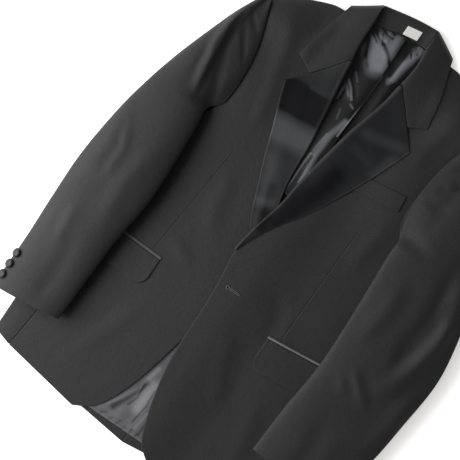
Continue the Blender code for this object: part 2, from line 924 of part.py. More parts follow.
def make_front_button():
    mesh = button_mesh("front_button", FRONT_BUTTON_RADIUS, FRONT_BUTTON_HEIGHT)
    button = add_object("front_button", mesh, "covered_button")
    rest = front_top(RIGHT, FRONT_BUTTON_A, FRONT_BUTTON_Y) + LAYER_GAP
    button.location = laid(RIGHT, FRONT_BUTTON_A, FRONT_BUTTON_Y, rest + FRONT_BUTTON_HEIGHT / 2)


def make_cuff_buttons(side):
    """Three buttons in a row on the outer edge of the cuff, standing off the sleeve's own surface."""
    mesh = button_mesh("cuff_button", CUFF_BUTTON_RADIUS, CUFF_BUTTON_HEIGHT)
    for number, y in enumerate(CUFF_BUTTON_ROWS, 1):
        button = add_object(f"cuff_button_{SIDE_NAMES[side]}_{number}", mesh, "covered_button")
        here = laid(side, *sleeve_ring(side, CUFF_BUTTON_ANGLE, y))
        round_it = laid(side, *sleeve_ring(side, CUFF_BUTTON_ANGLE + 8, y)) - laid(
            side, *sleeve_ring(side, CUFF_BUTTON_ANGLE - 8, y)
        )
        up_it = laid(side, *sleeve_ring(side, CUFF_BUTTON_ANGLE, y + 10)) - here
        out = round_it.cross(up_it).normalized() * -side
        if out.z < 0:
            out = -out
        button.location = here + out * (CUFF_BUTTON_HEIGHT / 2 + CUFF_BUTTON_STANDOFF) * MM
        button.rotation_mode = "QUATERNION"
        button.rotation_quaternion = out.to_track_quat("Z", "Y")


for old in list(bpy.data.objects):
    bpy.data.objects.remove(old, do_unlink=True)

PARTS = bpy.data.collections.new("tailored_jacket")
bpy.context.scene.collection.children.link(PARTS)
JACKET = bpy.data.objects.new("jacket_middle", None)
JACKET.location = (-MIDDLE_X * MM, -MIDDLE_Y * MM, 0)
PARTS.objects.link(JACKET)

for jacket_side in (RIGHT, LEFT):
    make_back(jacket_side)
    make_side_panel(jacket_side)
    make_front(jacket_side)
    make_lapel(jacket_side)
    make_collar_leaf(jacket_side)
    make_sleeve(jacket_side)
    make_hip_pocket(jacket_side)
    make_neck_lining(jacket_side)
    make_cuff_buttons(jacket_side)
make_collar_back()
make_breast_welt()
make_hem_lining()
make_label()
make_front_button()
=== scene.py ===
# %% [markdown]
# # A dinner jacket laid out flat
#
# A tailored jacket is a few dozen flat pieces of cloth, sewn together and pressed. Here it lies on its back
# on a pale table, front side up, unbuttoned, with the left front over the right. Nobody wears it, so almost
# all of its shape comes from the cut: where each piece begins and ends, and what it lies on.
#
# Each piece of cloth below starts as a flat grid, as cloth starts as a flat sheet. The grid's points are
# moved to where that piece lies, folds are pressed into it, and a modifier gives it the thickness of cloth.
# The sizes come first, in small tables, so every piece can be changed without touching the code that makes
# it.

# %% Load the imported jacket
import math

import bmesh
import bpy
import numpy as np
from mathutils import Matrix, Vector, noise


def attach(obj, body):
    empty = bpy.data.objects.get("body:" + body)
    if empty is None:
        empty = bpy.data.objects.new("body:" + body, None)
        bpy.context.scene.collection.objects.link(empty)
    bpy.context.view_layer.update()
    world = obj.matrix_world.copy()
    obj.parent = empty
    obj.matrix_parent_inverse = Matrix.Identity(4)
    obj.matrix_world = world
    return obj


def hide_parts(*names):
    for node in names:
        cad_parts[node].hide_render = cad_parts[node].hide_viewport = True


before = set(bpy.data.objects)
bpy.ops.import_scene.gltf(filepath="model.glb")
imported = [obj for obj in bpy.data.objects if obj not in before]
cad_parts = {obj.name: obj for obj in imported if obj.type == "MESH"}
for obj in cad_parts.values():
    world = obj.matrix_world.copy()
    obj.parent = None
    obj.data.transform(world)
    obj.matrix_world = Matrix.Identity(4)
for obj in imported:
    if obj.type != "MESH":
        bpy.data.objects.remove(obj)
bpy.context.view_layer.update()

# %% [markdown]
# ## Where things are
#
# Lengths are millimetres on the laid jacket. The letter a is the distance out from the centre-front line, y
# runs from hem to collar and z is the height above the table. Both sides of the jacket use the same a, so
# one table can serve left and right. The neck was laid a little turned, and warp() turns every piece by the
# same amount.

# %% Places and small helpers
MM = 0.001
LEFT, RIGHT = 1, -1
SIDE_NAMES = {RIGHT: "right", LEFT: "left"}
MIDDLE_X, MIDDLE_Y = 22.2, 2.8
WARP_SLOPE, WARP_REACH, WARP_START, WARP_RUN = 0.17, 140.0, 100.0, 200.0


def smooth(t):
    """Goes from 0 to 1 with no corner at either end."""
    t = min(max(t, 0.0), 1.0)
    return t * t * (3 - 2 * t)


def rising(value, start, end):
    """0 until value reaches start, then softly up to 1 at end. The two may run downwards as well."""
    return smooth((value - start) / (end - start))


def mix(a, b, t):
    return a + (b - a) * t


def bump(a, y, middle_a, middle_y, reach_a, reach_y):
    """A soft round hill of height 1."""
    return math.exp(-(((a - middle_a) / reach_a) ** 2) - ((y - middle_y) / reach_y) ** 2)


def warp(x, y):
    turn = math.exp(-((x / WARP_REACH) ** 2)) * smooth((y - WARP_START) / WARP_RUN)
    return y + WARP_SLOPE * x * turn


def laid(side, a, y, z):
    """A point of the laid jacket, in metres."""
    x = side * a
    return Vector(((x - MIDDLE_X) * MM, (warp(x, y) - MIDDLE_Y) * MM, z * MM))


def spot(x, y):
    """A point seen in the photograph, laid flat: x to the wearer's left, y from hem to collar."""
    return Vector(((x - MIDDLE_X) * MM, (y - MIDDLE_Y) * MM, 0.0))


print("The turned neck moves a point 100 mm out by", round(warp(100, 300) - 300, 1), "mm")

# %% Tables read along a curve
class Table:
    """Rows of numbers under named columns, read along the first with a smooth curve through the others."""

    def __init__(self, names, rows):
        self.names = names.split()
        self.rows = rows

    def slope(self, k, column):
        low, high = max(k - 1, 0), min(k + 1, len(self.rows) - 1)
        run = self.rows[high][0] - self.rows[low][0]
        return (self.rows[high][column] - self.rows[low][column]) / run

    def at(self, name, place):
        column = self.names.index(name)
        place = min(max(place, self.rows[0][0]), self.rows[-1][0])
        k = 0
        while k < len(self.rows) - 2 and self.rows[k + 1][0] < place:
            k += 1
        start, end = self.rows[k], self.rows[k + 1]
        run = end[0] - start[0]
        t = (place - start[0]) / run
        keep, pull = (1 + 2 * t) * (1 - t) ** 2, t * (1 - t) ** 2
        return (
            keep * start[column]
            + pull * self.slope(k, column) * run
            + t * t * (3 - 2 * t) * end[column]
            + t * t * (t - 1) * self.slope(k + 1, column) * run
        )


print("The jacket's middle is", MIDDLE_X, "mm to the wearer's left of its centre-front line")

# %% [markdown]
# ## Materials as sums
#
# A cloth's look is arithmetic on its surface: threads are waves, wear is noise, a dart is the distance to a
# line. Written with Python's own + and *, such a sum is easy to read. The small class below wraps the
# output of a shader node and adds the Math node that each sign stands for. Every other node comes from one
# method, node().

# %% A value in a shader
class Value:
    """One output socket of some nodes. Signs between values add Math nodes."""

    def __init__(self, tree, socket):
        self.tree, self.socket = tree, socket

    def math(self, operation, *others, swap=False):
        made = self.tree.nodes.new("ShaderNodeMath")
        made.operation = operation
        for socket, given in zip(made.inputs, [*others, self] if swap else [self, *others]):
            if isinstance(given, Value):
                self.tree.links.new(given.socket, socket)
            else:
                socket.default_value = given
        return Value(self.tree, made.outputs[0])

    def __add__(self, other):
        return self.math("ADD", other)

    def __sub__(self, other):
        return self.math("SUBTRACT", other)

    def __rsub__(self, other):
        return self.math("SUBTRACT", other, swap=True)

    def __mul__(self, other):
        return self.math("MULTIPLY", other)

    __radd__, __rmul__ = __add__, __mul__


class Nodes:
    """The nodes of a material or a sky."""

    def __init__(self, tree):
        self.tree = tree

    def node(self, kind, settings=None, inputs=None, output=0):
        made = self.tree.nodes.new("ShaderNode" + kind)
        for name, given in (settings or {}).items():
            setattr(made, name, given)
        for name, given in (inputs or {}).items():
            if isinstance(given, Value):
                self.tree.links.new(given.socket, made.inputs[name])
            else:
                made.inputs[name].default_value = given
        return Value(self.tree, made.outputs[output])

    def along(self, where, direction):
        """How far a place lies in one direction."""
        settings = {"operation": "DOT_PRODUCT"}
        return self.node("VectorMath", settings, {0: where, 1: direction}, output="Value")

    def blend(self, share, first, second):
        """Mixes two colours. A Math node would turn them grey."""
        made = self.tree.nodes.new("ShaderNodeMix")
        made.data_type = "RGBA"
        self.tree.links.new(share.socket, made.inputs[0])
        for slot, given in ((6, first), (7, second)):
            if isinstance(given, Value):
                self.tree.links.new(given.socket, made.inputs[slot])
            else:
                made.inputs[slot].default_value = (*given, 1.0)
        return Value(self.tree, made.outputs[2])


print("Signs that a shader value knows: + - *")

# %% [markdown]
# ## The camera
#
# The photograph looks straight down, with the jacket turned about a third of a right angle. A long lens
# from well above keeps the sleeves from leaning outwards. The camera is turned about its own axis, so the
# jacket itself can stay square to its tables.

# %% Look straight down
TURN = 34.4
VIEW_MIDDLE = (-45.9, -30.0)
VIEW_HEIGHT, VIEW_WIDTH, SENSOR = 1600.0, 697.0, 36.0

camera = bpy.data.objects.new("camera", bpy.data.cameras.new("camera"))
camera.data.sensor_width = SENSOR
camera.data.lens = SENSOR * VIEW_HEIGHT / VIEW_WIDTH
camera.location = ((VIEW_MIDDLE[0] - MIDDLE_X) * MM, (VIEW_MIDDLE[1] - MIDDLE_Y) * MM, VIEW_HEIGHT * MM)
camera.rotation_euler = (0, 0, math.radians(TURN))
bpy.context.scene.collection.objects.link(camera)
bpy.context.scene.camera = camera
bpy.context.scene.view_settings.view_transform = "Standard"
print("Lens:", round(camera.data.lens, 1), "mm")

# %% [markdown]
# ## Light
#
# Black cloth shows its shape only through what it reflects. One big soft lamp, low and on the wearer's
# right, brushes across the folds and leaves a soft dark shadow on their far side. The sky is dim overhead
# and brighter towards that lamp, so flat satin stays nearly black and only slopes that face the window
# light up.

# %% Window and sky
WINDOW_SIDE = Vector((-0.93, -0.36, 0.0))
WINDOW_AWAY, WINDOW_HEIGHT, WINDOW_SIZE, WINDOW_POWER = 0.88, 0.66, 0.8, 17.8
GLOW_TO_WINDOW, GLOW_LOW, GLOW_OVERHEAD = 2.0, 0.42, 0.06


def soft_lamp(name, place, size, power, colour):
    lamp = bpy.data.lights.new(name, "AREA")
    lamp.energy, lamp.size, lamp.color = power, size, colour
    made = bpy.data.objects.new(name, lamp)
    made.location = place
    made.rotation_euler = (-Vector(place)).to_track_quat("-Z", "Y").to_euler()
    bpy.context.scene.collection.objects.link(made)


window_place = WINDOW_SIDE * WINDOW_AWAY + Vector((0, 0, WINDOW_HEIGHT))
soft_lamp("window", window_place, WINDOW_SIZE, WINDOW_POWER, (1.0, 0.985, 0.97))

room = bpy.data.worlds.new("room")
bpy.context.scene.world = room
room.use_nodes = True
sky = Nodes(room.node_tree)
looking = sky.node("TexCoord", output="Generated")
to_window = sky.along(looking, WINDOW_SIDE).math("MAXIMUM", 0.0)
low = 1 - sky.along(looking, (0, 0, 1)).math("MAXIMUM", 0.0)
glow = to_window * GLOW_TO_WINDOW + low * GLOW_LOW + GLOW_OVERHEAD
room.node_tree.links.new(glow.socket, room.node_tree.nodes["Background"].inputs["Strength"])
room.node_tree.nodes["Background"].inputs["Color"].default_value = (0.97, 0.985, 1.0, 1.0)

# %% [markdown]
# ## A finish and its patterns
#
# Every cloth here is the Principled shader with patterns in front of it: noise, bands like threads, or a
# soft patch along a line. A patch paints light or shade into the colour: painted light where a fold faces the
# window, painted shade where it turns away, and painted shade along a furrow that was sewn. A node group
# could hold each pattern, but methods of one class can be read from top to bottom.

# %% A finish and its patterns
class Finish(Nodes):
    """A material, with the patterns that cloth needs. Constants go straight on the shader's own sockets."""

    def __init__(self, name, **constants):
        self.material = bpy.data.materials.new(name)
        self.material.use_nodes = True
        super().__init__(self.material.node_tree)
        self.shader = self.tree.nodes["Principled BSDF"]
        for socket, given in constants.items():
            self.shader.inputs[socket.replace("_", " ")].default_value = given

    def place(self, kind="Object"):
        return self.node("TexCoord", output=kind)

    def scaled(self, where, scale, turn=0.0):
        rotation = (0, 0, math.radians(turn))
        return self.node("Mapping", inputs={"Vector": where, "Scale": scale, "Rotation": rotation})

    def noise(self, where, scale, detail=2.0):
        return self.node("TexNoise", inputs={"Vector": where, "Scale": scale, "Detail": detail})

    def wave(self, where, scale, distortion=0.0):
        settings = {"wave_type": "BANDS", "bands_direction": "X"}
        inputs = {"Vector": where, "Scale": scale, "Distortion": distortion}
        return self.node("TexWave", settings, inputs, "Fac")

    def flat(self):
        """Where the surface is, seen from above."""
        return self.scaled(self.place(), (1, 1, 0))

    def patch(self, where, start, end, reach):
        """1 on the straight line between two points, falling softly to 0 at reach from it."""
        run = end - start
        here = self.node("VectorMath", {"operation": "SUBTRACT"}, {0: where, 1: start})
        share = self.along(here, run / run.length_squared).math("MAXIMUM", 0.0).math("MINIMUM", 1.0)
        nearest = self.node("VectorMath", {"operation": "SCALE"}, {0: run, "Scale": share})
        far = self.node("VectorMath", {"operation": "DISTANCE"}, {0: here, 1: nearest}, output="Value")
        return self.between(far, reach, 0.0)

    def between(self, value, start, end):
        """0 until value reaches start, then softly up to 1 at end."""
        inputs = {0: value, 1: start, 2: end, 3: 0.0, 4: 1.0}
        return self.node("MapRange", {"interpolation_type": "SMOOTHSTEP"}, inputs)

    def patches(self, where, rows, share):
        """Adds a table's patches to a share. A row is strength, reach and the points of its line."""
        for strength, reach, *line in rows:
            dots = [spot(*dot) for dot in line]
            lit, *rest = [self.patch(where, start, end, reach * MM) for start, end in zip(dots, dots[1:])]
            for other in rest:
                lit = lit.math("MAXIMUM", other)
            share = share + lit * strength
        return share

    def feed(self, socket, value):
        self.tree.links.new(value.socket, self.shader.inputs[socket])

    def relief(self, height, depth):
        """Raises the surface by height times depth, which is in metres."""
        self.feed("Normal", self.node("Bump", inputs={"Height": height, "Distance": depth}, output="Normal"))

print("Patterns that a finish knows: noise, wave, patches, relief")

# %% [markdown]
# ## Wool
#
# Fine black wool is a twill: diagonal ribs well under a millimetre apart, with a short nap over them. It
# could be one dark grey with bump, but real black cloth is made of threads that catch light one by one, so
# the colour is mixed from ribs, nap and a slow cloudiness. A dart is drawn where it was sewn: a fine furrow
# in the cloth, with painted shade darkening its colour along it.

# %% Wool twill
WOOL_DARK, WOOL_LIGHT = (0.0035, 0.0035, 0.0036), (0.0165, 0.0167, 0.0172)
TWILL_ANGLE, TWILL_DEPTH = 58, 0.00014


def wool_twill(name, furrows=()):
    cloth = Finish(name, Sheen_Weight=0.04, Sheen_Roughness=0.5, Specular_IOR_Level=0.3)
    lie = cloth.place("UV")
    rib = cloth.wave(cloth.scaled(lie, (1, 1, 1), TWILL_ANGLE), 175.0, 0.6)
    nap = cloth.noise(lie, 800.0, 3.0)
    fleck = cloth.noise(lie, 360.0, 2.0)
    cloud = cloth.noise(lie, 26.0, 3.0)
    unevenness = cloth.noise(lie, 95.0, 3.0)
    furrow = cloth.patches(cloth.flat(), furrows, 0.0)
    # Ribs, nap, flecks and cloud are the wool's own tone; the furrows darken it as painted shade.
    shade = rib * 0.2 + nap * 0.4 + fleck * 0.9 + cloud * 0.2 - furrow * 0.5 - 0.35
    cloth.feed("Base Color", cloth.blend(shade, WOOL_DARK, WOOL_LIGHT))
    cloth.feed("Roughness", cloud * 0.12 + nap * 0.1 + 0.58)
    cloth.relief(rib * 0.4 + nap * 0.6 + fleck * 0.9 + unevenness * 3.2 - furrow * 3.0, TWILL_DEPTH)
    return cloth


# Furrows in the fronts' wool: strength, reach, then (x, y). Each side has a dart from the pocket up to the
# chest, and the left side also has the buttonhole's slit and its round eye. Each furrow is pressed in as
# relief and also darkens the wool's colour, as painted shade in the groove and in the hole.
BUTTONHOLE = ((0.0, -103.0), (22.0, -103.0))
FURROWS = {
    RIGHT: ((1.0, 1.1, (-126, -122), (-109, 68)),),
    LEFT: (
        (1.0, 1.1, (112, -124), (115, 75)),
        (1.5, 0.9, *BUTTONHOLE),
        (2.0, 1.9, BUTTONHOLE[0], (1.0, -103.0)),
    ),
}
finishes = {"wool": wool_twill("wool_twill")}
for side, name in SIDE_NAMES.items():
    finishes["front_wool_" + name] = wool_twill("front_wool_" + name, FURROWS[side])
print("The wool's nodes:", len(finishes["wool"].tree.nodes))

# %% [markdown]
# ## Cloth from a grid
#
# A pattern piece is a flat sheet, and so is the grid that create_grid makes. It could be modelled by
# pulling a few points and subdividing, but then each piece would need its own hand work. Instead a function
# says where each share of the width and length lies, and every piece of the jacket goes through the same
# helper. Solidify then gives the wall, and one Subdivision Surface rounds the turned edges, as pressing
# does.

# %% A cloth wall
CLOTH, LINING, LAPEL, FLAP, JET = 1.6, 1.0, 1.6, 1.6, 1.2
SEAM_GAP, LAYER_GAP, SHOULDER_GAP, LAPEL_GAP = 0.4, 0.5, 1.0, 1.0
cut = {}


def even(count):
    return [k / count for k in range(count + 1)]


def hemmed(count):
    """Even steps with a closer one at each end, so that an edge keeps its line when it is rounded."""
    return [0.0, 0.3 / count] + [k / count for k in range(1, count)] + [1 - 0.3 / count, 1.0]


def edged(steps):
    """Adds a very close step at each end, so that a seam's edge keeps its line when it is rounded."""
    return [steps[0], mix(steps[0], steps[1], 0.1), *steps[1:-1], mix(steps[-1], steps[-2], 0.1), steps[-1]]


def rows_through(marks, step):
    """Every mark, with closer rows between them, about step apart."""
    rows = []
    for start, end in zip(marks, marks[1:]):
        parts = max(1, math.ceil(abs(end - start) / step))
        rows += [mix(start, end, k / parts) for k in range(parts)]
    return rows + [marks[-1]]


print("Four even steps with kept ends:", [round(step, 3) for step in edged(even(4))])

# %% Dress a solid in cloth
def dressed(node, slot, form, finish=None, added=False):
    """Puts a finished form into the scene, in place of one of the plain model's solids unless it is added."""
    mesh = bpy.data.meshes.new(node + "_cloth")
    form.to_mesh(mesh)
    form.free()
    mesh.shade_smooth()
    mesh.materials.append(finishes[finish or slot].material)
    piece = bpy.data.objects.new(node + "_cloth", mesh)
    bpy.context.scene.collection.objects.link(piece)
    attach(piece, "root")
    if not added:
        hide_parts(node)
    return piece


def measured(points, axis):
    """How far along its thread each point of a grid lies, in metres."""
    steps = np.linalg.norm(np.diff(points, axis=axis), axis=2)
    return np.insert(steps.cumsum(axis), 0, 0.0, axis=axis)


def wall(node, slot, across, along, place, thickness, outwards=True, flip=False, finish=None, rounded=True):
    """Makes the cloth for one of the plain model's walls. place(s, t) gives each point of the sheet."""
    points = np.array([[place(s, t) for s in across] for t in along])
    wide, long = measured(points, 1), measured(points, 0)
    columns, rows = len(across) - 1, len(along) - 1
    grid = bmesh.new()
    bmesh.ops.create_grid(grid, x_segments=columns, y_segments=rows, size=0.5, calc_uvs=False)
    cell_of = {v: (round((v.co.y + 0.5) * rows), round((v.co.x + 0.5) * columns)) for v in grid.verts}
    for vertex, (row, column) in cell_of.items():
        vertex.co = points[row][column]
    threads, shares = grid.loops.layers.uv.new("threads"), grid.loops.layers.uv.new("shares")
    for face in grid.faces:
        for corner in face.loops:
            row, column = cell_of[corner.vert]
            corner[threads].uv = (wide[row][column], long[row][column])
            corner[shares].uv = (column / columns, row / rows)
    if flip:
        bmesh.ops.reverse_faces(grid, faces=grid.faces)
    area = sum(face.calc_area() for face in grid.faces)
    piece = dressed(node, slot, grid, finish)
    thicken = piece.modifiers.new("wall", "SOLIDIFY")
    thicken.thickness = thickness * MM
    thicken.offset = 1 if outwards else -1
    if rounded:
        pressed = piece.modifiers.new("pressed edges", "SUBSURF")
        pressed.levels = pressed.render_levels = 1
    width, length = float(wide[:, -1].max()), float(long[-1].max())
    cut[node] = (piece, width, length, min(float(area), width * length))


def side_wall(side, part, slot, across, along, point, thickness, **how):
    """A wall of one side of the jacket. The right side's grid is a mirror image, so its faces are turned."""
    node = f"{part}_{SIDE_NAMES[side]}"

    def place(s, t):
        return laid(side, *point(side, s, t))

    wall(node, slot, across, along, place, thickness, flip=side == RIGHT, **how)


def size_of(node):
    _, width, length, _ = cut[node]
    return f"{width:.3f} x {length:.3f} m"


print("A cloth wall is", CLOTH, "mm thick")

# %% [markdown]
# ## Folds
#
# A crease in laid cloth is a long low ridge with a shallow valley beside it. Each one is written down as
# the line that its crest follows, how wide it is and how high. Noise alone would give a crumpled look, but
# not these folds in these places, so the main ones are listed one by one and a little noise is added between
# them.

# %% Ridges along lines
FADED_ENDS, CREST_AT_ENDS = 0.3, 0.15
VALLEY_ASIDE, VALLEY_DEPTH = 1.7, 0.35


def fold(a, y, reach, height, *line):
    """The height that one fold adds at a point. The valley lies on the left of its line."""
    best, aside, share = 1e9, 0.0, 0.0
    travelled = 0.0
    total = sum(math.dist(p, q) for p, q in zip(line, line[1:]))
    for (start_a, start_y), (end_a, end_y) in zip(line, line[1:]):
        run_a, run_y = end_a - start_a, end_y - start_y
        length = math.hypot(run_a, run_y)
        along = ((a - start_a) * run_a + (y - start_y) * run_y) / length
        held = min(max(along, 0.0), length)
        near_a, near_y = start_a + run_a * held / length, start_y + run_y * held / length
        far = math.hypot(a - near_a, y - near_y)
        if far < best:
            best = far
            aside = math.copysign(far, run_a * (y - start_y) - run_y * (a - start_a))
            share = (travelled + held) / total
        travelled += length
    if best > 4 * reach:
        return 0.0
    fade = smooth(share / FADED_ENDS) * smooth((1 - share) / FADED_ENDS)
    crest = math.exp(-((best / reach) ** 2))
    valley = math.exp(-(((aside - VALLEY_ASIDE * reach) / reach) ** 2))
    return height * (fade * (1 - CREST_AT_ENDS) + CREST_AT_ENDS * crest) * (crest - VALLEY_DEPTH * valley)


def folds_at(rows, side, a, y):
    return sum(fold(a, y, reach, height, *line) for of, reach, height, *line in rows if of == side)


def ripple(side, a, y, wavelength, height):
    """Slow uneven noise, for cloth that never lies quite flat."""
    return height * noise.noise(Vector((side * a / wavelength, y / wavelength, side * 3.7)))

print("A fold 2 mm high:", round(fold(0, 0, 10, 2.0, (0, -50), (0, 50)), 2), "mm on its crest")

# %% Folds of the fronts
# Folds on the fronts: side, reach, height, then the points of the crest as (a, y).
FRONT_FOLDS = (
    (RIGHT, 9, 1.6, (86, 331), (94, 308), (101, 278), (108, 250)),
    (RIGHT, 12, 1.5, (150, 300), (134, 262), (124, 215), (122, 180)),
    (RIGHT, 11, 1.2, (118, 214), (112, 165), (104, 120)),
    (RIGHT, 9, 1.6, (114, -88), (90, -99), (64, -107)),
    (RIGHT, 14, 1.4, (60, -60), (84, -20), (92, 50)),
    (RIGHT, 10, 1.3, (249, -297), (231, -322), (218, -322), (201, -348)),
    (RIGHT, 14, 1.0, (90, -190), (110, -250), (140, -320)),
    (LEFT, 10, 1.4, (90, 330), (100, 300), (108, 262)),
    (LEFT, 13, 1.4, (150, 296), (136, 262), (128, 220), (128, 190)),
    (LEFT, 12, 1.2, (150, 120), (140, 70), (136, 10)),
    (LEFT, 14, 1.3, (40, -150), (60, -210), (90, -270)),
    (LEFT, 12, -1.0, (60, -60), (90, -100), (96, -150)),
    (LEFT, 15, 1.1, (130, -210), (150, -280), (160, -350)),
)
print("Folds on the fronts:", len(FRONT_FOLDS))

# %% [markdown]
# ## The two fronts
#
# Each front is cut in one piece from shoulder to hem. Its inner edge is the front edge with the rounded hem
# corner, then the line where the lapel rolls back, then the neck. Its outer edge is the side seam and the
# armhole. The tables give both edges at the same shares t of the way up, so a row of the grid runs straight
# from one to the other. The chest and shoulder keep the fullness that a tailor shapes into them, as soft
# hills.

# %% Outlines of the fronts
BACK_TOP, FRONT_REST, LAP_RISE = CLOTH, 4.2, 7.5
UNDERARM_T, LAPEL_BREAK_T, LAPEL_END_T, SHOULDER_TURN_T = 0.6, 0.425, 0.905, 0.93

FRONT_EDGE = {
    RIGHT: Table(
        "t a y",
        [
            (0.00, 94, -383), (0.03, 66, -366), (0.06, 49, -340), (0.10, 33, -298), (0.15, 21, -252),
            (0.20, 13, -214), (0.275, 1, -160), (0.35, -12, -105), (0.425, -14, -50), (0.493, -4, 0),
            (0.556, 9, 46), (0.604, 16.5, 81), (0.69, 21, 136), (0.78, 28.5, 196), (0.83, 33.5, 229),
            (0.87, 38.5, 261), (0.91, 42, 291), (0.96, 52, 325), (1.00, 64, 347),
        ],
    ),
    LEFT: Table(
        "t a y",
        [
            (0.00, 50, -391), (0.03, 27, -373), (0.06, 15, -348), (0.10, 2, -306), (0.15, -8, -258),
            (0.20, -12, -214), (0.275, -13, -158), (0.35, -16, -106), (0.425, -22, -50), (0.493, -14, 0),
            (0.556, -3, 46), (0.604, 1, 80), (0.69, 11, 137), (0.78, 23, 193), (0.83, 33, 227),
            (0.87, 41, 258), (0.91, 46, 290), (0.96, 54, 325), (1.00, 64, 347),
        ],
    ),
}
FRONT_OUTER = Table(
    "t a y",
    [
        (0.00, 224, -361), (0.10, 217, -288), (0.25, 208, -178), (0.40, 198, -68), (0.50, 200, 5),
        (0.60, 206, 78), (0.655, 179, 96), (0.71, 164, 127), (0.775, 161.5, 168), (0.85, 166, 215),
        (0.90, 174, 246), (0.955, 186, 279), (1.00, 195, 302),
    ],
)
SHOULDER_BOW = Table("a rise", [(60, 0), (87, 11), (107, 17), (140, 14), (165, 9), (182, 4), (195, 0)])
chest_width = FRONT_OUTER.at("a", 0.75) - FRONT_EDGE[LEFT].at("a", 0.75)
print("The left front is", round(chest_width), "mm wide across the chest")

# %% How the fronts lie
# Chest, shoulder and neck stand up as hills: height, middle (a, y), reach (a, y).
FRONT_HILLS = ((11, 138, 172, 70, 90), (13, 160, 288, 60, 46), (8, 44, 318, 40, 62))
FRONT_EASE, DEEPEST_FURROW, NECK_LIFT = 0.5, -1.0, 2.8


def neck_lift(a, y):
    """The back's neck rests on the turned-down collar."""
    return NECK_LIFT * rising(y, 308, 330) * rising(abs(a), 118, 92)


def front_under(side, a, y):
    """The underside of a front where it lies. The left front laps over the right one."""
    z = FRONT_REST
    for height, *hill in FRONT_HILLS:
        z += height * bump(a, y, *hill)
    if side == LEFT:
        z += LAP_RISE * rising(a, 100, 16) * rising(y, 285, 175)
    inside = rising(a, 10, 50) * rising(a, 215, 185) * rising(y, -370, -330)
    z += max(folds_at(FRONT_FOLDS, side, a, y) * inside, DEEPEST_FURROW)
    return z + FRONT_EASE + ripple(side, a, y, 70.0, 0.9) * inside


def front_top(side, a, y):
    return front_under(side, a, y) + CLOTH


def shoulder_height(t, full, edge):
    over = min(max((t - SHOULDER_TURN_T) / (1 - SHOULDER_TURN_T), 0.0), 1.0)
    return edge + (full - edge) * math.sqrt(max(1 - over * over, 0.0))


def shoulder_bow(a, t):
    """The shoulder seam bows out beyond a straight line from neck to sleeve."""
    return SHOULDER_BOW.at("rise", a) * rising(t, 0.88, 1.0)


def front_point(side, s, t):
    edge, outer = FRONT_EDGE[side], FRONT_OUTER
    a = mix(edge.at("a", t), outer.at("a", t), s)
    y = mix(edge.at("y", t), outer.at("y", t), s) + shoulder_bow(a, t)
    rest = BACK_TOP + SHOULDER_GAP + neck_lift(a, y)
    return a, y, shoulder_height(t, front_under(side, a, y), rest)


print("The left front laps over the right by", LAP_RISE, "mm of height")

# %% [markdown]
# ## Cutting the fronts
#
# With the tables written down, a front is one call. Its rows pass through the hem corner, the underarm and
# the turn of the shoulder, so that the grid has a line wherever the cloth changes direction. A close pair
# of lines at each edge keeps the outline where the table puts it when the wall is rounded.

# %% Make the fronts
LONG_ROWS = rows_through([0, 0.03, 0.1, 0.2, UNDERARM_T, SHOULDER_TURN_T, 0.975, 1.0], 0.01)

for side, name in SIDE_NAMES.items():
    finish = "front_wool_" + name
    side_wall(side, "front", "wool", hemmed(36), edged(LONG_ROWS), front_point, CLOTH, finish=finish)
print("Fronts cut to", size_of("front_left"), "and", size_of("front_right"))

# %% [markdown]
# ## The buttonhole
#
# The only button is hidden under the left front, and what shows is its buttonhole: a slit with a round eye
# at the end by the edge. Buttonhole stitches worked close together make a low ridge of thread all round it.
# The ridge is a narrow grid bent into a tube and led round the slit, and its twist is a wave along the
# thread.

# %% Stitch round the buttonhole
RIDGE_RADIUS, RIDGE_LIFT, SLIT_HALF_WIDTH, EYE_RADIUS = 0.7, 0.2, 1.1, 2.2
EYE_SHARE, EYE_GAP_ANGLE, LIPS_START = 1 / 3, 30, 0.86


def buttonhole_outline(share):
    """The first third goes round the eye, and the rest out along one lip and back along the other."""
    (eye_x, y), (end_x, _) = BUTTONHOLE
    lip = end_x - eye_x - EYE_RADIUS
    if share < EYE_SHARE:
        turn = math.radians(mix(EYE_GAP_ANGLE, 360 - EYE_GAP_ANGLE, share / EYE_SHARE))
        return eye_x + EYE_RADIUS * math.cos(turn), y + EYE_RADIUS * math.sin(turn)
    along = (share - EYE_SHARE) / (1 - EYE_SHARE)
    lip_side = SLIT_HALF_WIDTH * math.cos(math.pi * rising(along, 0.42, 0.58))
    out = min(along, 1 - along) * 2
    return eye_x + EYE_RADIUS * LIPS_START + lip * out, y - lip_side


def twisted_silk():
    thread = Finish("buttonhole_silk", Specular_IOR_Level=0.5, Roughness=0.4)
    twist = thread.wave(thread.place("UV"), 300.0)
    # The twist is the thread's own pattern, but its light bands are far lighter than black silk: painted
    # highlight, the silk's sheen painted in.
    thread.feed("Base Color", thread.blend(twist, (0.015, 0.015, 0.016), (0.11, 0.11, 0.112)))
    return thread


finishes["buttonhole_silk"] = twisted_silk()
ridge = bmesh.new()
bmesh.ops.create_grid(ridge, x_segments=90, y_segments=8, size=0.5, calc_uvs=False)
silk = ridge.loops.layers.uv.new("threads")
for face in ridge.faces:
    for corner in face.loops:
        corner[silk].uv = (corner.vert.co.x * 0.06, corner.vert.co.y * 0.004)
for vertex in ridge.verts:
    share, turn = vertex.co.x + 0.5, math.tau * vertex.co.y
    x, y = buttonhole_outline(share % 1.0)
    ahead_x, ahead_y = buttonhole_outline((share + 0.004) % 1.0)
    run = math.hypot(ahead_x - x, ahead_y - y)
    aside = RIDGE_RADIUS * math.cos(turn) / run
    x, y = x + (ahead_y - y) * aside, y - (ahead_x - x) * aside
    height = front_top(LEFT, x, y) + RIDGE_LIFT + RIDGE_RADIUS * math.sin(turn)
    vertex.co = spot(x, y) + Vector((0, 0, height * MM))
bmesh.ops.remove_doubles(ridge, verts=ridge.verts, dist=1e-5)
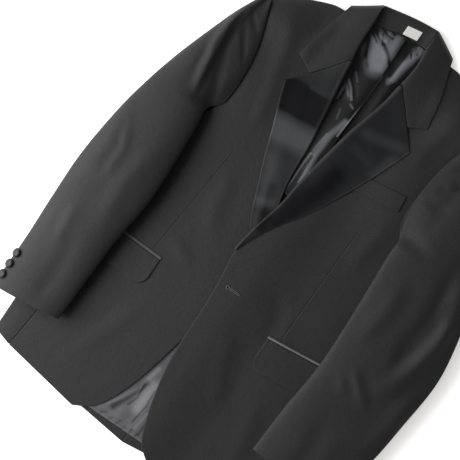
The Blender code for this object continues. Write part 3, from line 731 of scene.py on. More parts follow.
bmesh.ops.recalc_face_normals(ridge, faces=ridge.faces)
dressed("buttonhole_stitch", "wool", ridge, "buttonhole_silk", added=True)
print("Buttonhole:", BUTTONHOLE[1][0] - BUTTONHOLE[0][0], "mm long")

# %% [markdown]
# ## The side panels and the back
#
# A man's jacket has no seam at its very side. A narrow panel turns round it instead, from the front's seam
# on top to the back's seam underneath. It could be two flat pieces with a corner, but pressed cloth keeps a
# small round turn, so its section is two flats and a half circle. The back is two plain halves with a seam
# down the middle.

# %% Side panels and back
SIDE_EDGE = Table(
    "t edge_a edge_y",
    [
        (0.00, 256, -352), (0.15, 256, -251), (0.30, 250, -142), (0.45, 240, -32), (0.60, 245, 78),
    ],
)
BACK = Table(
    "t middle_y a y",
    [
        (0.00, -387, 222, -361), (0.15, -268, 214, -252), (0.30, -160, 204, -142), (0.45, -48, 198, -32),
        (0.60, 65, 212, 78), (0.68, 130, 190, 112), (0.78, 210, 173, 170), (0.89, 290, 177, 240),
        (1.00, 350, 194, 300),
    ],
)
SIDE_TURN_START, SIDE_TURN_END, SIDE_SWELL = 0.3, 0.7, 0.8
CENTRE_LAP, NECK_SHARE, NECK_START_T = 0.15, 0.33, 0.7


def side_panel_point(side, s, t):
    """Along the top from the front's seam, round the edge, and back underneath to the back's seam."""
    seam_a, seam_y, seam_z = front_point(side, 1.0, t)
    seam_a += SEAM_GAP
    edge_a, edge_y = SIDE_EDGE.at("edge_a", t), SIDE_EDGE.at("edge_y", t)
    back_a, back_y = BACK.at("a", t) + SEAM_GAP, BACK.at("y", t)
    radius = (FRONT_REST + CLOTH) / 2
    if s <= SIDE_TURN_START:
        share = s / SIDE_TURN_START
        a = mix(seam_a, edge_a - radius, share)
        swell = SIDE_SWELL * math.sin(math.pi * share)
        return a, mix(seam_y, edge_y, share), mix(seam_z + CLOTH, 2 * radius, smooth(share)) + swell
    if s <= SIDE_TURN_END:
        turn = math.pi * (s - SIDE_TURN_START) / (SIDE_TURN_END - SIDE_TURN_START)
        return edge_a - radius + radius * math.sin(turn), edge_y, radius + radius * math.cos(turn)
    share = (s - SIDE_TURN_END) / (1 - SIDE_TURN_END)
    return mix(edge_a - radius, back_a, share), mix(edge_y, back_y, share), 0.0


def back_point(side, s, t):
    """The neck stays level across the first third, and the shoulder slopes off beyond it."""
    a = mix(-CENTRE_LAP, BACK.at("a", t), s)
    level = max(0.0, (s - NECK_SHARE) / (1 - NECK_SHARE))
    share = mix(s, level, rising(t, NECK_START_T, 1.0))
    y = mix(BACK.at("middle_y", t), BACK.at("y", t), share) + shoulder_bow(a, t)
    return a, y, neck_lift(a, y)


round_side = edged(rows_through([0, SIDE_TURN_START, SIDE_TURN_END, 1.0], 0.05))
up_side = edged(rows_through([0, UNDERARM_T], 0.012))
for side in SIDE_NAMES:
    side_wall(side, "side", "wool", round_side, up_side, side_panel_point, CLOTH, outwards=False)
    side_wall(side, "back", "wool", edged(even(16)), edged(even(50)), back_point, CLOTH)
print("Side panel and back:", size_of("side_left"), size_of("back_left"))

# %% [markdown]
# ## Satin for the lapels
#
# A dinner jacket's lapels are faced with satin. Its long floats lie side by side, so it is smooth and
# mirrors light in a broad soft band, where wool scatters it. That band, and the dark beside it, are also
# painted into the satin's colour as painted reflection and painted shade. Fine streaks along the floats break
# the band up a little.

# %% Satin
# Painted reflection and painted shade: where the lapels catch the window or lose it, and a painted highlight
# along the middle of each jet. Strength, reach, then (x, y).
SATIN_LIGHT = (
    (0.95, 34, (-84, 136), (-34, 142)), (-1.4, 33, (-102, 186), (-30, 194)),
    (0.35, 26, (-56, 96), (-24, 40)), (0.3, 12, (-40, 30), (-20, 36)), (0.28, 15, (42, 204), (96, 216)),
    (0.1, 12, (40, 176), (69, 170)), (0.25, 14, (96, 196), (84, 160)), (-0.3, 14, (-30, 60), (-12, 0)),
    (-0.22, 30, (40, 126), (0, 20)), (0.3, 10, (-64, 214), (-38, 216)),
)
JET_LIGHT = ((0.05, 1.5, (-107, -125.4), (-235, -120.4)), (0.62, 1.5, (93, -131.4), (221, -118)))
SATIN_DARK = (0.0021, 0.0022, 0.0028)


def facing_satin(name, bright, rows):
    """Satin that is duller where it turns: round the roll, and at the free edge."""
    satin = Finish(name, Specular_IOR_Level=0.34)
    lie = satin.place("UV")
    floats = satin.noise(satin.scaled(lie, (1, 12, 1)), 240.0)
    cloud = satin.noise(lie, 18.0)
    light = satin.patches(satin.flat(), rows, floats * 0.2 + cloud * 0.25)
    share = satin.along(satin.node("UVMap", {"uv_map": "shares"}), (1, 0, 0))
    turned = satin.between(share, 0.33, 0.27) + satin.between(share, 0.955, 0.985)
    # The rows paint reflection and shade into the colour, over the floats' streaks and a slow cloud of tone.
    satin.feed("Base Color", satin.blend(light.math("MAXIMUM", 0.0), SATIN_DARK, bright))
    satin.feed("Roughness", cloud * 0.1 + floats * 0.06 + 0.24 + turned * 0.36)
    satin.relief(floats, 0.00005)
    return satin


# Each satin's bright colour is what its painted reflection reaches; the jet's is far lighter, so the whole
# jet shows a painted highlight.
finishes["satin"] = facing_satin("lapel_satin", (0.042, 0.043, 0.0445), SATIN_LIGHT)
finishes["jet_satin"] = facing_satin("jet_satin", (0.17, 0.17, 0.175), JET_LIGHT)
print("The satin's nodes:", len(finishes["satin"].tree.nodes))

# %% [markdown]
# ## The lapels
#
# A lapel is the top of the front's facing, folded back along the roll line. It isn't pressed flat there:
# the cloth rolls over in a soft tube and then lies on the chest. Its section is an arc that starts at the
# front's own edge, turns right over and runs out to the lapel's free edge. The left lapel bulges over the
# breast pocket.

# %% Outlines of the lapels
LAPEL_ROWS = {
    RIGHT: Table(
        "t edge_a edge_y",
        [
            (0.425, -6, -45), (0.49, 26, -5), (0.57, 50, 50), (0.65, 69, 99),
            (0.73, 81, 135), (0.81, 95, 174), (0.905, 106, 208),
        ],
    ),
    LEFT: Table(
        "t edge_a edge_y",
        [
            (0.425, -19, -42), (0.49, 4, 4), (0.57, 38, 56), (0.65, 60, 98),
            (0.73, 80, 138), (0.81, 98, 178), (0.905, 112, 212),
        ],
    ),
}
ROLL_END, ROLL_START_ANGLE = 0.3, 60
ROLL_STEPS = rows_through([0, ROLL_END, 0.93, 1.0], 0.03)
EDGE_PRESS, LEAF = 1.3, 0.9
LAPEL_PUFF, PUFF_FALL = (0.6, 4.6), 1.6
WELT_UNDER_LAPEL, WELT_RAISE, WELT_REACH = (72.0, 137.0), 1.9, 34.0


print("The right lapel's point lies", LAPEL_ROWS[RIGHT].at("edge_a", LAPEL_END_T), "mm out")

# %% How a leaf rolls over
def rolled(s, roll, edge, under, top, start_angle):
    """Round the roll from start_angle until s reaches ROLL_END, and then out from roll to edge."""
    radius = (top((*roll, 0.0)) - under) / 2
    middle = under + radius
    if s <= ROLL_END:
        turn = math.radians(mix(start_angle, -90, s / ROLL_END))
        push = radius * math.cos(turn)
        a = roll[0] - SEAM_GAP - max(push, 0.0)
        return a, roll[1], middle - radius * math.sin(turn)
    share = (s - ROLL_END) / (1 - ROLL_END)
    a, y = mix(roll[0] - SEAM_GAP, edge[0], share), mix(roll[1], edge[1], share)
    return a, y, top((a, y, share))


def lapel_point(side, s, t):
    rows = LAPEL_ROWS[side]
    roll = FRONT_EDGE[side].at("a", t), FRONT_EDGE[side].at("y", t)
    edge = rows.at("edge_a", t), rows.at("edge_y", t)
    puff = mix(*LAPEL_PUFF, rising(t, 0.54, 0.84))

    def top(at):
        a, y, share = at
        lift = puff * (1 - share) ** PUFF_FALL
        if side == LEFT:
            lift += WELT_RAISE * bump(a, y, *WELT_UNDER_LAPEL, WELT_REACH, WELT_REACH)
        return front_top(side, a, y) + LAPEL_GAP + LAPEL + lift - EDGE_PRESS * rising(share, 0.5, 1.0)

    return rolled(s, roll, edge, front_under(side, *roll), top, ROLL_START_ANGLE)

print("Round the roll, a lapel turns through", ROLL_START_ANGLE + 90, "degrees")

# %% Make the lapels
lapel_rows = rows_through([LAPEL_BREAK_T, LAPEL_END_T], 0.008)
for side in SIDE_NAMES:
    side_wall(side, "lapel", "satin", ROLL_STEPS, lapel_rows, lapel_point, LEAF, outwards=False)
print("Lapels:", size_of("lapel_left"), size_of("lapel_right"))

# %% [markdown]
# ## The collar
#
# The collar is sewn to the lapels along the gorge, lies on the shoulders and stands up behind the neck,
# where it folds over and comes down again outside. With the jacket on its back, the part that stands lies
# along the table and shows its inside. Each end reads its shape from a table that follows the fold line
# round.

# %% Outlines of the collar's ends
COLLAR_LEAF = Table(
    "t roll_a roll_y edge_a edge_y gorge drop",
    [
        (0.00, 41, 288, 110, 257, 1.0, 0.0), (0.10, 43, 298, 107, 272, 0.6, 0.0),
        (0.25, 45, 315, 103, 293, 0.1, 0.0), (0.45, 46, 336, 97, 322, 0, 0.0),
        (0.62, 46, 358, 91, 344, 0, 0.10), (0.74, 46, 378, 88, 356, 0, 0.25),
        (0.82, 46, 387, 87, 362, 0, 0.55), (0.88, 46, 389, 87, 364, 0, 0.82),
        (0.93, 46, 387, 86, 362, 0, 1.00), (1.00, 46, 366, 80, 342, 0, 1.00),
    ],
)
NOTCH_SHARE = {RIGHT: 0.571, LEFT: 0.615}
COLLAR_SHIFT = {RIGHT: 0.0, LEFT: 4.0}
STAND_FOOT, COLLAR_RADIUS = 5.4, 4.2
NECK_SEAM_Y, NECK_SEAM_DIP, NECK_SEAM_HALF = 357, 6, 60
COLLAR_LIFT, FRONT_ENDS_Y, LAID_TOP, LAID_START_ANGLE = (2.6, 0.3), 330, 0.4, -70


print("The collar rolls from y", COLLAR_LEAF.at("roll_y", 0), "up to", COLLAR_LEAF.at("roll_y", 0.88))

# %% How the collar's ends lie
def gorge_y(side, a):
    """The seam that joins the collar to the lapel runs on along the lapel's top edge."""
    roll_a, roll_y = FRONT_EDGE[side].at("a", LAPEL_END_T) - SEAM_GAP, FRONT_EDGE[side].at("y", LAPEL_END_T)
    peak_a, peak_y = LAPEL_ROWS[side].at("edge_a", LAPEL_END_T), LAPEL_ROWS[side].at("edge_y", LAPEL_END_T)
    return mix(roll_y, peak_y, (a - roll_a) / (peak_a - roll_a))


def collar_leaf_point(side, s, t):
    """One end of the collar. It rolls over on the front, then goes down to the table behind the neck."""
    rows = COLLAR_LEAF
    shift = COLLAR_SHIFT[side] * (1 - rising(t, 0.3, 0.7))
    roll = rows.at("roll_a", t) + shift, rows.at("roll_y", t) + SEAM_GAP
    edge = rows.at("edge_a", t) + shift, rows.at("edge_y", t) - shift
    drop = smooth(rows.at("drop", t))

    def top(at):
        a, y, share = at
        height = front_top(side, a, min(y, FRONT_ENDS_Y)) + LAPEL_GAP + LAPEL + mix(*COLLAR_LIFT, share)
        return mix(height - EDGE_PRESS * rising(share, 0.4, 1.0), LAID_TOP, drop)

    under = mix(front_under(side, roll[0], min(roll[1], FRONT_ENDS_Y)), 0.0, drop)
    start_angle = mix(ROLL_START_ANGLE, LAID_START_ANGLE, rising(t, 0.5, 0.7))
    a, y, z = rolled(s, roll, edge, under, top, start_angle)
    share = (s - ROLL_END) / (1 - ROLL_END)
    if share > 0:
        at_notch = min(share, NOTCH_SHARE[side])
        notch_a, notch_y = mix(roll[0] - SEAM_GAP, edge[0], at_notch), mix(roll[1], edge[1], at_notch)
        down = max(notch_y - gorge_y(side, notch_a) - SEAM_GAP, 0.0)
        y -= rows.at("gorge", t) * down * (1 - share) / (1 - at_notch)
    return a, y, z


print("The gorge meets the right roll at y", round(gorge_y(RIGHT, 42), 1))

# %% How the back of the collar lies
def stand_height(y):
    """The top of the collar's stand, rising from the neck seam to the fold."""
    return mix(STAND_FOOT, 2 * COLLAR_RADIUS, rising(y, 355, 385))


def lining_top_y(x):
    """The neck seam, where the lining ends and the stand begins."""
    return NECK_SEAM_Y - NECK_SEAM_DIP * (x / NECK_SEAM_HALF) ** 2


COLLAR_BACK_HALF, STAND_END_T, FOLD_END_T, FALL_EDGE_Y = 44.8, 0.4, 0.7, 342
FOLD_TOP_Y, FOLD_DIP, FOLD_HALF, COLLAR_END_LIFT = 391, 2.2, 43.5, 2.2


def collar_back_point(s, t):
    """Up the stand, over the fold, and down the fall that lies on the table."""
    a = mix(-COLLAR_BACK_HALF, COLLAR_BACK_HALF, s)
    radius = COLLAR_RADIUS
    fold_y = FOLD_TOP_Y - FOLD_DIP * (a / FOLD_HALF) ** 2
    stand_y = lining_top_y(a) + 2 * SEAM_GAP
    lift = COLLAR_END_LIFT * rising(abs(a), 34, 44)
    if t <= STAND_END_T:
        y = mix(stand_y, fold_y - radius, t / STAND_END_T)
        return a, y, stand_height(y) + lift
    if t <= FOLD_END_T:
        turn = math.pi * (t - STAND_END_T) / (FOLD_END_T - STAND_END_T)
        z = radius + radius * math.cos(turn) + lift * (1 + math.cos(turn)) / 2
        return a, fold_y - radius + radius * math.sin(turn), z
    share = (t - FOLD_END_T) / (1 - FOLD_END_T)
    return a, mix(fold_y - radius, FALL_EDGE_Y, share), 0.0

print("The stand is", stand_height(355), "mm high at its foot and", stand_height(385), "at its fold")

# %% Make the collar
collar_rows = rows_through([0, 0.1, 0.45, 0.8, 0.93, 1.0], 0.02)
for side in SIDE_NAMES:
    side_wall(side, "collar", "wool", ROLL_STEPS, collar_rows, collar_leaf_point, LEAF, outwards=False)
wall(
    "collar_back", "wool",
    hemmed(16),
    rows_through([0, STAND_END_T, FOLD_END_T, 1.0], 0.04),
    lambda s, t: laid(LEFT, *collar_back_point(s, t)),
    LAPEL,
    outwards=False,
)
print("Collar ends and back:", size_of("collar_left"), size_of("collar_back"))

# %% [markdown]
# ## The sleeves
#
# A tailored sleeve is a bent tube of two pieces: a wide top sleeve and a narrow under sleeve. It is set
# into the armhole with a rounded head. Laid down, the right one kept its roundness and lies over the front
# like a roll, and the left one fell flatter and creased. Each section is a rounded oval between the inner
# and outer edge, and above the underarm its two ends are led to the front's and the back's armhole seams.
# An oval alone would stand up like a pipe beside the seam. So the head takes the lower of two heights, the
# oval's and that of a straight slope which starts at the seam, and the two meet in a soft turn.

# %% Outlines of the sleeves
SLEEVE_REST, FLOOR_REST = 10.4, 0.6
SLEEVE = {
    RIGHT: Table(
        "y inner outer crown skew round",
        [
            (-290, 182, 292, 41, -6, 2.2), (-204, 179, 291, 45, -4, 2.2), (-140, 176, 293, 47, -2, 2.2),
            (-60, 168, 293.5, 50, 0, 2.2), (31, 171, 284, 50, 0, 2.2), (92, 177, 272, 47, 0, 2.2),
            (130, 188, 263, 44, 0, 2.1), (168, 195, 251.5, 41, 0, 2.0), (210, 199, 237.5, 37, 0, 2.0),
            (246, 200, 225, 32, 0, 2.0), (275, 197, 212.5, 26, 0, 2.0), (292, 194, 204, 20, 0, 2.0),
            (302, 192.5, 198, 13, 0, 2.0),
        ],
    ),
    LEFT: Table(
        "y inner outer crown skew round",
        [
            (-285, 167, 299, 30, -4, 2.3), (-204, 171, 323, 31, -3, 2.3), (-126, 178, 333, 32, -1, 2.3),
            (-44, 177, 339.5, 33, 0, 2.3), (29, 173, 329, 33, 0, 2.3), (92, 171, 312, 33, 0, 2.3),
            (130, 180, 298, 32, 0, 2.2), (168, 190, 281, 32, 0, 2.2), (210, 196, 260, 31, 0, 2.1),
            (246, 199, 241, 29, 0, 2.0), (275, 197, 221, 25, 0, 2.0), (292, 194, 207, 20, 0, 2.0),
            (302, 192.5, 198, 13, 0, 2.0),
        ],
    ),
}
ARMHOLE = Table(
    "y front_a back_a",
    [
        (78, 190, 214), (96, 180, 204), (112, 170, 192), (127, 163.5, 184), (168, 161, 174),
        (215, 165.5, 174), (246, 173.5, 180), (279, 185.5, 191.5), (302, 194.5, 198),
    ],
)
TOP_MARKS = [208, 180, 134, 90, 46, 1, -28]
UNDER_MARKS = [-29, -62, -90, -118, -149]
print("Crowns:", {name: max(row[3] for row in SLEEVE[side].rows) for side, name in SIDE_NAMES.items()}, "mm")

# %% Folds of the sleeves
# Folds on the sleeves: side, reach, height, then the points of the crest as (a, y).
SLEEVE_FOLDS = (
    (RIGHT, 6, 3.6, (214, 262), (219, 240), (221, 218), (221, 188), (216, 168), (214, 144), (208, 100)),
    (RIGHT, 6, 1.8, (261, 22), (243, -17), (242, -78)),
    (RIGHT, 8, 1.3, (254, -120), (248, -190)),
    (RIGHT, 16, 2.2, (284, 60), (270, -10), (276, -90)),
    (RIGHT, 14, 1.6, (200, 20), (214, -60), (205, -150)),
    (RIGHT, 12, -1.4, (230, -150), (222, -220), (226, -292)),
    (LEFT, 13, -4.6, (262, 130), (272, 70), (277, 20), (268, -40), (246, -76)),
    (LEFT, 8, -3.4, (290, 66), (291, 16), (282, -34), (262, -82)),
    (LEFT, 13, 3.8, (304, 60), (307, -10), (292, -70), (262, -122)),
    (LEFT, 5, 1.8, (266, -20), (258, -56), (250, -84)),
    (LEFT, 7, 3.2, (220, -96), (246, -116), (272, -140)),
    (LEFT, 6, 2.0, (212, -114), (234, -138)),
    (LEFT, 9, 2.6, (206, 214), (189, 192), (172, 178)),
    (LEFT, 8, 1.8, (166, 158), (190, 163)),
    (LEFT, 14, 2.2, (210, 60), (214, 0), (204, -60)),
    (LEFT, 13, 2.0, (318, -60), (316, -130), (300, -200)),
    (LEFT, 14, -1.8, (230, -180), (240, -230), (236, -285)),
)

# Folds that run from the armhole seam into the sleeve's head, on the same terms.
HEAD_FOLDS = (
    (RIGHT, 9, -3.0, (213, 256), (209, 221), (204, 190), (194, 158), (181, 128), (171, 96), (164, 60)),
    (RIGHT, 4, 3.0, (202, 84), (206, 125), (211, 165), (214, 196), (217, 228), (213, 262)),
    (RIGHT, 3.4, -2.0, (207, 266), (191, 250), (174, 236)),
    (RIGHT, 4.4, -2.2, (202, 240), (183, 210), (164, 184)),
    (LEFT, 5, -2.2, (214, 256), (196, 238), (178, 230)),
    (LEFT, 6, -3.0, (216, 224), (196, 200), (170, 188)),
    (LEFT, 5, -2.4, (206, 176), (188, 170), (168, 168)),
)
print("Folds on the sleeves:", len(SLEEVE_FOLDS), "and on their heads:", len(HEAD_FOLDS))

# %% How the sleeves lie
HEAD_CLEAR, HEAD_SOFTNESS, HEAD_START = 3.0, 3.0, 1.5
HEAD_SLOPE = {RIGHT: 0.7, LEFT: 0.34}
HEAD_TIP_Z, OUTER_REST = 9.5, 4.0
FRONT_SEAM_INSET, FRONT_SEAM_LIFT, BACK_SEAM_OUTSET = 2.0, 0.3, 0.8


def lower_of(first, second, softness):
    """The lower of two heights, with a soft turn where they meet."""
    share = min(max(0.5 + (second - first) / (2 * softness), 0.0), 1.0)
    return mix(second, first, share) - softness * share * (1 - share)


def sleeve_low(a, y):
    """What a sleeve lies on: the body, then near the table beyond its edge and above the underarm."""
    over_body = mix(SLEEVE_REST, OUTER_REST, rising(a, 252, 282))
    return mix(over_body, FLOOR_REST, rising(y, 88, 130))


def set_in(y):
    """0 where the sleeve is a free tube, and 1 where it is sewn into the armhole."""
    return rising(y, 92, 118)


def sleeve_ring(side, angle, y):
    """A point of the sleeve's outside. Angle 180 is the edge by the body, 90 the crown, 0 the outer edge."""
    rows = SLEEVE[side]
    inner, outer = rows.at("inner", y), rows.at("outer", y)
    crown, power = rows.at("crown", y), 2 / rows.at("round", y)
    turn = math.radians(angle)
    reach = math.copysign(abs(math.cos(turn)) ** power, math.cos(turn))
    rise = math.copysign(abs(math.sin(turn)) ** power, math.sin(turn))
    a = (inner + outer) / 2 + (outer - inner) / 2 * reach
    row_y = y + rows.at("skew", y) * reach
    middle = (crown + sleeve_low((inner + outer) / 2, y)) / 2
    if rise < 0:
        return a, row_y, middle + (middle - sleeve_low(a, y)) * rise
    z = middle + (crown - middle) * rise
    inside = min(rise * 1.8, 1.0) * rising(y, 288, 258)
    z += (folds_at(SLEEVE_FOLDS, side, a, row_y) + ripple(side, a, row_y, 62.0, 1.6)) * inside
    return a, row_y, z


def top_sleeve_point(side, angle, y):
    """Led to the front's armhole seam, with a straight slope and the head's folds beside it."""
    a, row_y, z = sleeve_ring(side, angle, y)
    pinned = set_in(y) * rising(angle, 128, TOP_MARKS[0])
    seam_a = ARMHOLE.at("front_a", y) - FRONT_SEAM_INSET
    seam_z = front_top(side, seam_a, y) + LAYER_GAP + CLOTH + FRONT_SEAM_LIFT
    seam_z = mix(seam_z, HEAD_TIP_Z, rising(y, 290, 302))
    if pinned > 0:
        start = sleeve_ring(side, TOP_MARKS[0], y)
        a += (seam_a - start[0]) * pinned
        z += (seam_z - start[2]) * pinned
    straight = seam_z + HEAD_START + HEAD_SLOPE[side] * max(a - seam_a, 0.0)
    z = mix(z, lower_of(z, straight, HEAD_SOFTNESS), set_in(y) * rising(y, 296, 276))
    folded = z + folds_at(HEAD_FOLDS, side, a, row_y) * rising(y, 84, 114) * rising(a, 164, 178)
    return a, row_y, max(folded, min(z, front_top(side, a, row_y) + HEAD_CLEAR))


def under_sleeve_point(side, angle, y):
    """Led to the back's armhole seam. Its lowest part drops onto the back before the side panel ends."""
    a, row_y, z = sleeve_ring(side, angle, y)
    pinned = set_in(y) * rising(angle, -55, UNDER_MARKS[-1])
    if pinned > 0:
        seam_a = ARMHOLE.at("back_a", y) + SEAM_GAP + BACK_SEAM_OUTSET
        last = sleeve_ring(side, UNDER_MARKS[-1], y)
        a += (seam_a - last[0]) * pinned
        z += (FLOOR_REST - last[2]) * pinned
    on_back = mix(BACK_TOP + LAYER_GAP, FLOOR_REST, set_in(y))
    z = mix(z, min(z, on_back), rising(y, 79, 89) * rising(angle, -100, -140))
    return a, row_y, max(z, FLOOR_REST) + CLOTH * rising(y, 282, 290)

print("The right sleeve at the elbow:", round(sleeve_ring(RIGHT, 90, -60)[2], 1), "mm high")

# %% Make the sleeves
SLEEVE_PIECES = (
    ("sleeve_top", edged(rows_through(TOP_MARKS, 5.0)), top_sleeve_point),
    ("sleeve_under", edged(rows_through(UNDER_MARKS, 9.0)), under_sleeve_point),
)
for side in SIDE_NAMES:
    sleeve_rows = edged(rows_through([row[0] for row in SLEEVE[side].rows], 6.5))
    for part, round_it, point in SLEEVE_PIECES:
        side_wall(side, part, "wool", round_it, sleeve_rows, point, CLOTH, outwards=False)
print("Top and under sleeve:", size_of("sleeve_top_left"), size_of("sleeve_under_left"))

# %% [markdown]
# ## Pockets
#
# Each hip pocket is a slit bound with a narrow satin jet, and a flap of the jacket's own wool hangs from
# it. The breast pocket has a welt, a small stiff band that stands over its opening. All of them are made
# from the height of the front under them, so they follow its folds and never sink into it.

# %% Flaps, jets and welt
# Where each flap's top edge starts (a, y), how far it rises along its length, and how deep it hangs.
FLAP_ROWS = {RIGHT: (107.0, -127.5, 5.0, 50.0), LEFT: (93.0, -133.5, 13.5, 52.0)}
FLAP_LENGTH, FLAP_CORNER, FLAP_CURL, JET_HEIGHT = 128.0, 20.0, 0.7, 4.8
WELT_INNER, WELT_OUTER, WELT_HEIGHT, WELT_LEAN = (62.0, 122.5), (147.0, 133.5), 25.0, 2.0


def pocket_line(side, share):
    a, y, rise, _ = FLAP_ROWS[side]
    return a + FLAP_LENGTH * share, y + rise * share


def flap_point(side, s, t):
    depth = FLAP_ROWS[side][3]
    a, top_y = pocket_line(side, s)
    corner = max(0.0, 1 - min(s, 1 - s) * FLAP_LENGTH / FLAP_CORNER)
    depth -= FLAP_CORNER * (1 - math.sqrt(max(0.0, 1 - corner * corner)))
    y = top_y - depth * (1 - t)
    curl = FLAP_CURL * (1 - t) ** 3
    return a, y, front_top(side, a, y) + LAYER_GAP + curl


def jet_point(side, s, t):
    a, top_y = pocket_line(side, s)
    y = top_y + SEAM_GAP + JET_HEIGHT * t
    return a, y, front_top(side, a, y) + LAYER_GAP


def welt_point(s, t):
    a = mix(WELT_INNER[0], WELT_OUTER[0], s) - WELT_LEAN * t * s
    y = mix(WELT_INNER[1], WELT_OUTER[1], s) + WELT_HEIGHT * t
    return a, y, front_top(LEFT, a, y) + LAYER_GAP

print("The flaps start at", [pocket_line(side, 0) for side in SIDE_NAMES])

# %% Make the pockets
flap_steps = rows_through([0, 0.02, 0.16, 0.84, 0.98, 1.0], 0.02)
for side in SIDE_NAMES:
    side_wall(side, "flap", "wool", flap_steps, hemmed(10), flap_point, FLAP)
    side_wall(side, "jet", "satin", hemmed(30), even(4), jet_point, JET, finish="jet_satin")
wall("breast_welt", "wool", hemmed(20), hemmed(6), lambda s, t: laid(LEFT, *welt_point(s, t)), JET)
print("Flap and jet:", size_of("flap_left"), size_of("jet_left"))

# %% [markdown]
# ## The lining
#
# The lining shows in the neck opening and between the cut-away fronts. It is a thin bright satin, cut
# fuller than the back so that it never pulls: a pleat runs down its middle and small tucks gather it at the
# neck. Its folds are real ones here, because a shiny cloth shows every slope, and their light and shade are
# also painted into its colour as painted light and painted shade.

# %% Light on the lining
PLEAT_EDGE, PLEAT_LAP, PLEAT_RISE, PLEAT_WIDTH = 12.0, 2.2, 3.4, 14
LINING_LOW, LINING_FURROW, LINING_REACH = 62.0, -0.3, (75, 56)
LEFT_HALF_HILL = (33, 250, 10, 70)

# Painted light and painted shade where the lining's folds face the window or hide from it: strength,
# reach, then (x, y).
NECK_LIGHT = (
    (0.68, 27, (-14, 338), (-4, 298)), (0.4, 15, (-22, 334), (-10, 296)),
    (0.45, 9, (-30, 330), (-18, 300)), (0.5, 12, (2, 350), (4, 300)),
    (-0.35, 4.2, (-39, 335), (-30, 311), (-15, 292)), (-0.55, 5.0, (-13, 332), (1, 323), (10, 313)),
    (-0.5, 3.4, (-38, 347), (-25, 337), (-11, 332)), (-0.5, 3.4, (-28, 353), (-16, 347), (-6, 346)),
    (-0.5, 2.8, (-40, 340), (-24, 329)), (-0.5, 2.8, (-16, 358), (-7, 353)),
    (-0.4, 3.0, (-22, 345), (-14, 330)), (0.8, 3.6, (-26, 259), (-16, 250), (-6, 236)),
    (0.6, 3.6, (-26, 246), (-25, 227)), (0.4, 3.5, (-24, 275), (-14, 264)),
    (0.5, 3.0, (-3, 229), (3, 226)), (0.3, 3.0, (-12, 215), (-8, 200)),
    (0.75, 8.5, (6, 203), (-2, 173), (-4, 136), (-1, 90)), (0.45, 3.0, (-7, 172), (-11, 140)),
    (1.3, 2.4, (-11, 135), (-12, 111), (-11, 83), (-11, 62)),
    (1.0, 2.2, (13, 292), (12.5, 240), (9.5, 206), (7.5, 178)),
    (-0.9, 3.2, (-7, 131), (-6.5, 112), (-5, 92), (-6, 76)),
    (1.0, 11, (38, 356), (31, 322), (27, 300), (26, 286)), (-0.9, 8.0, (18, 357), (20, 335), (21, 300)),
    (-0.7, 3.0, (27, 350), (33, 338)), (-0.6, 2.5, (36, 359), (38, 347)),
    (-0.9, 20, (28, 280), (24, 200)),
)
# The same painted light and painted shade, on the lining at the hem.
HEM_LIGHT = (
    (0.42, 15, (-10, -332), (-7, -290)), (0.35, 6, (-60, -361), (-38, -330), (-24, -303), (-16, -264)),
    (-0.4, 9, (-41, -350), (-30, -322), (-19, -292)),
    (-0.3, 3.2, (-20, -295), (-18, -318), (-24, -334)), (-0.35, 3.0, (-4, -352), (0, -322), (-2, -296)),
    (0.25, 4, (4, -360), (8, -330)), (-0.3, 4, (14, -364), (16, -330)),
    (-0.25, 3, (-52, -367), (-44, -362)), (-0.2, 4, (-36, -369), (-33, -364)),
    (-0.25, 3, (-24, -371), (-20, -361)), (-0.15, 4, (-12, -371), (-9, -365)),
    (-0.25, 3, (1, -371), (2, -362)), (-0.2, 3, (11, -371), (12, -365)),
)


print("Patches of light and dark in the neck:", len(NECK_LIGHT))

# %% Lining satin
def lining_satin(name, dark, light, rows, share):
    """Thin satin as light as share, with painted light and painted shade where its rows say."""
    cloth = Finish(name, Specular_IOR_Level=0.42)
    lie = cloth.place("UV")
    threads = cloth.noise(cloth.scaled(lie, (1, 9, 1)), 320.0)
    cloud = cloth.noise(lie, 30.0)
    lit = cloth.patches(cloth.flat(), rows, threads * 0.12 + cloud * 0.2 + share)
    cloth.feed("Base Color", cloth.blend(lit.math("MAXIMUM", 0.0), dark, light))
    cloth.feed("Roughness", threads * 0.1 + 0.21)
    cloth.relief(threads, 0.00004)
    return cloth


# One lining cloth in two copies: the neck one darker, painted shade for the deep neck opening, and the hem
# one lighter, painted light for cloth that faces the window.
NECK_DARK, NECK_BRIGHT = (0.005, 0.005, 0.0055), (0.125, 0.127, 0.14)
HEM_DARK, HEM_BRIGHT = (0.018, 0.018, 0.02), (0.155, 0.156, 0.163)
finishes["lining"] = lining_satin("neck_lining", NECK_DARK, NECK_BRIGHT, NECK_LIGHT, -0.2)
finishes["hem_lining"] = lining_satin("hem_lining", HEM_DARK, HEM_BRIGHT, HEM_LIGHT, 0.25)
print("Linings:", [name for name in finishes if "lining" in name])

# %% How the lining lies
# The lining's own folds, on the same terms as the front's: reach, height, then the points of the crest.
LINING_FOLDS = (
    (3.2, 1.3, (-38, 343), (-25, 333), (-9, 328)), (3.0, 1.2, (-30, 350), (-17, 343), (-4, 341)),
    (3.0, 1.0, (-16, 354), (-4, 349)), (5.0, 0.8, (-36, 330), (-27, 307), (-12, 288)),
    (5.0, 0.9, (-8, 326), (6, 316)), (3.5, 1.4, (-27, 261), (-16, 250), (-4, 234)),
    (3.5, 1.0, (-27, 246), (-25, 226)), (5.0, 0.7, (0, 200), (-6, 150), (-2, 96)),
    (3.2, 1.1, (28, 352), (35, 336)), (3.0, 1.0, (36, 357), (40, 345)),
    (5.0, 0.8, (32, 330), (28, 300)),
)


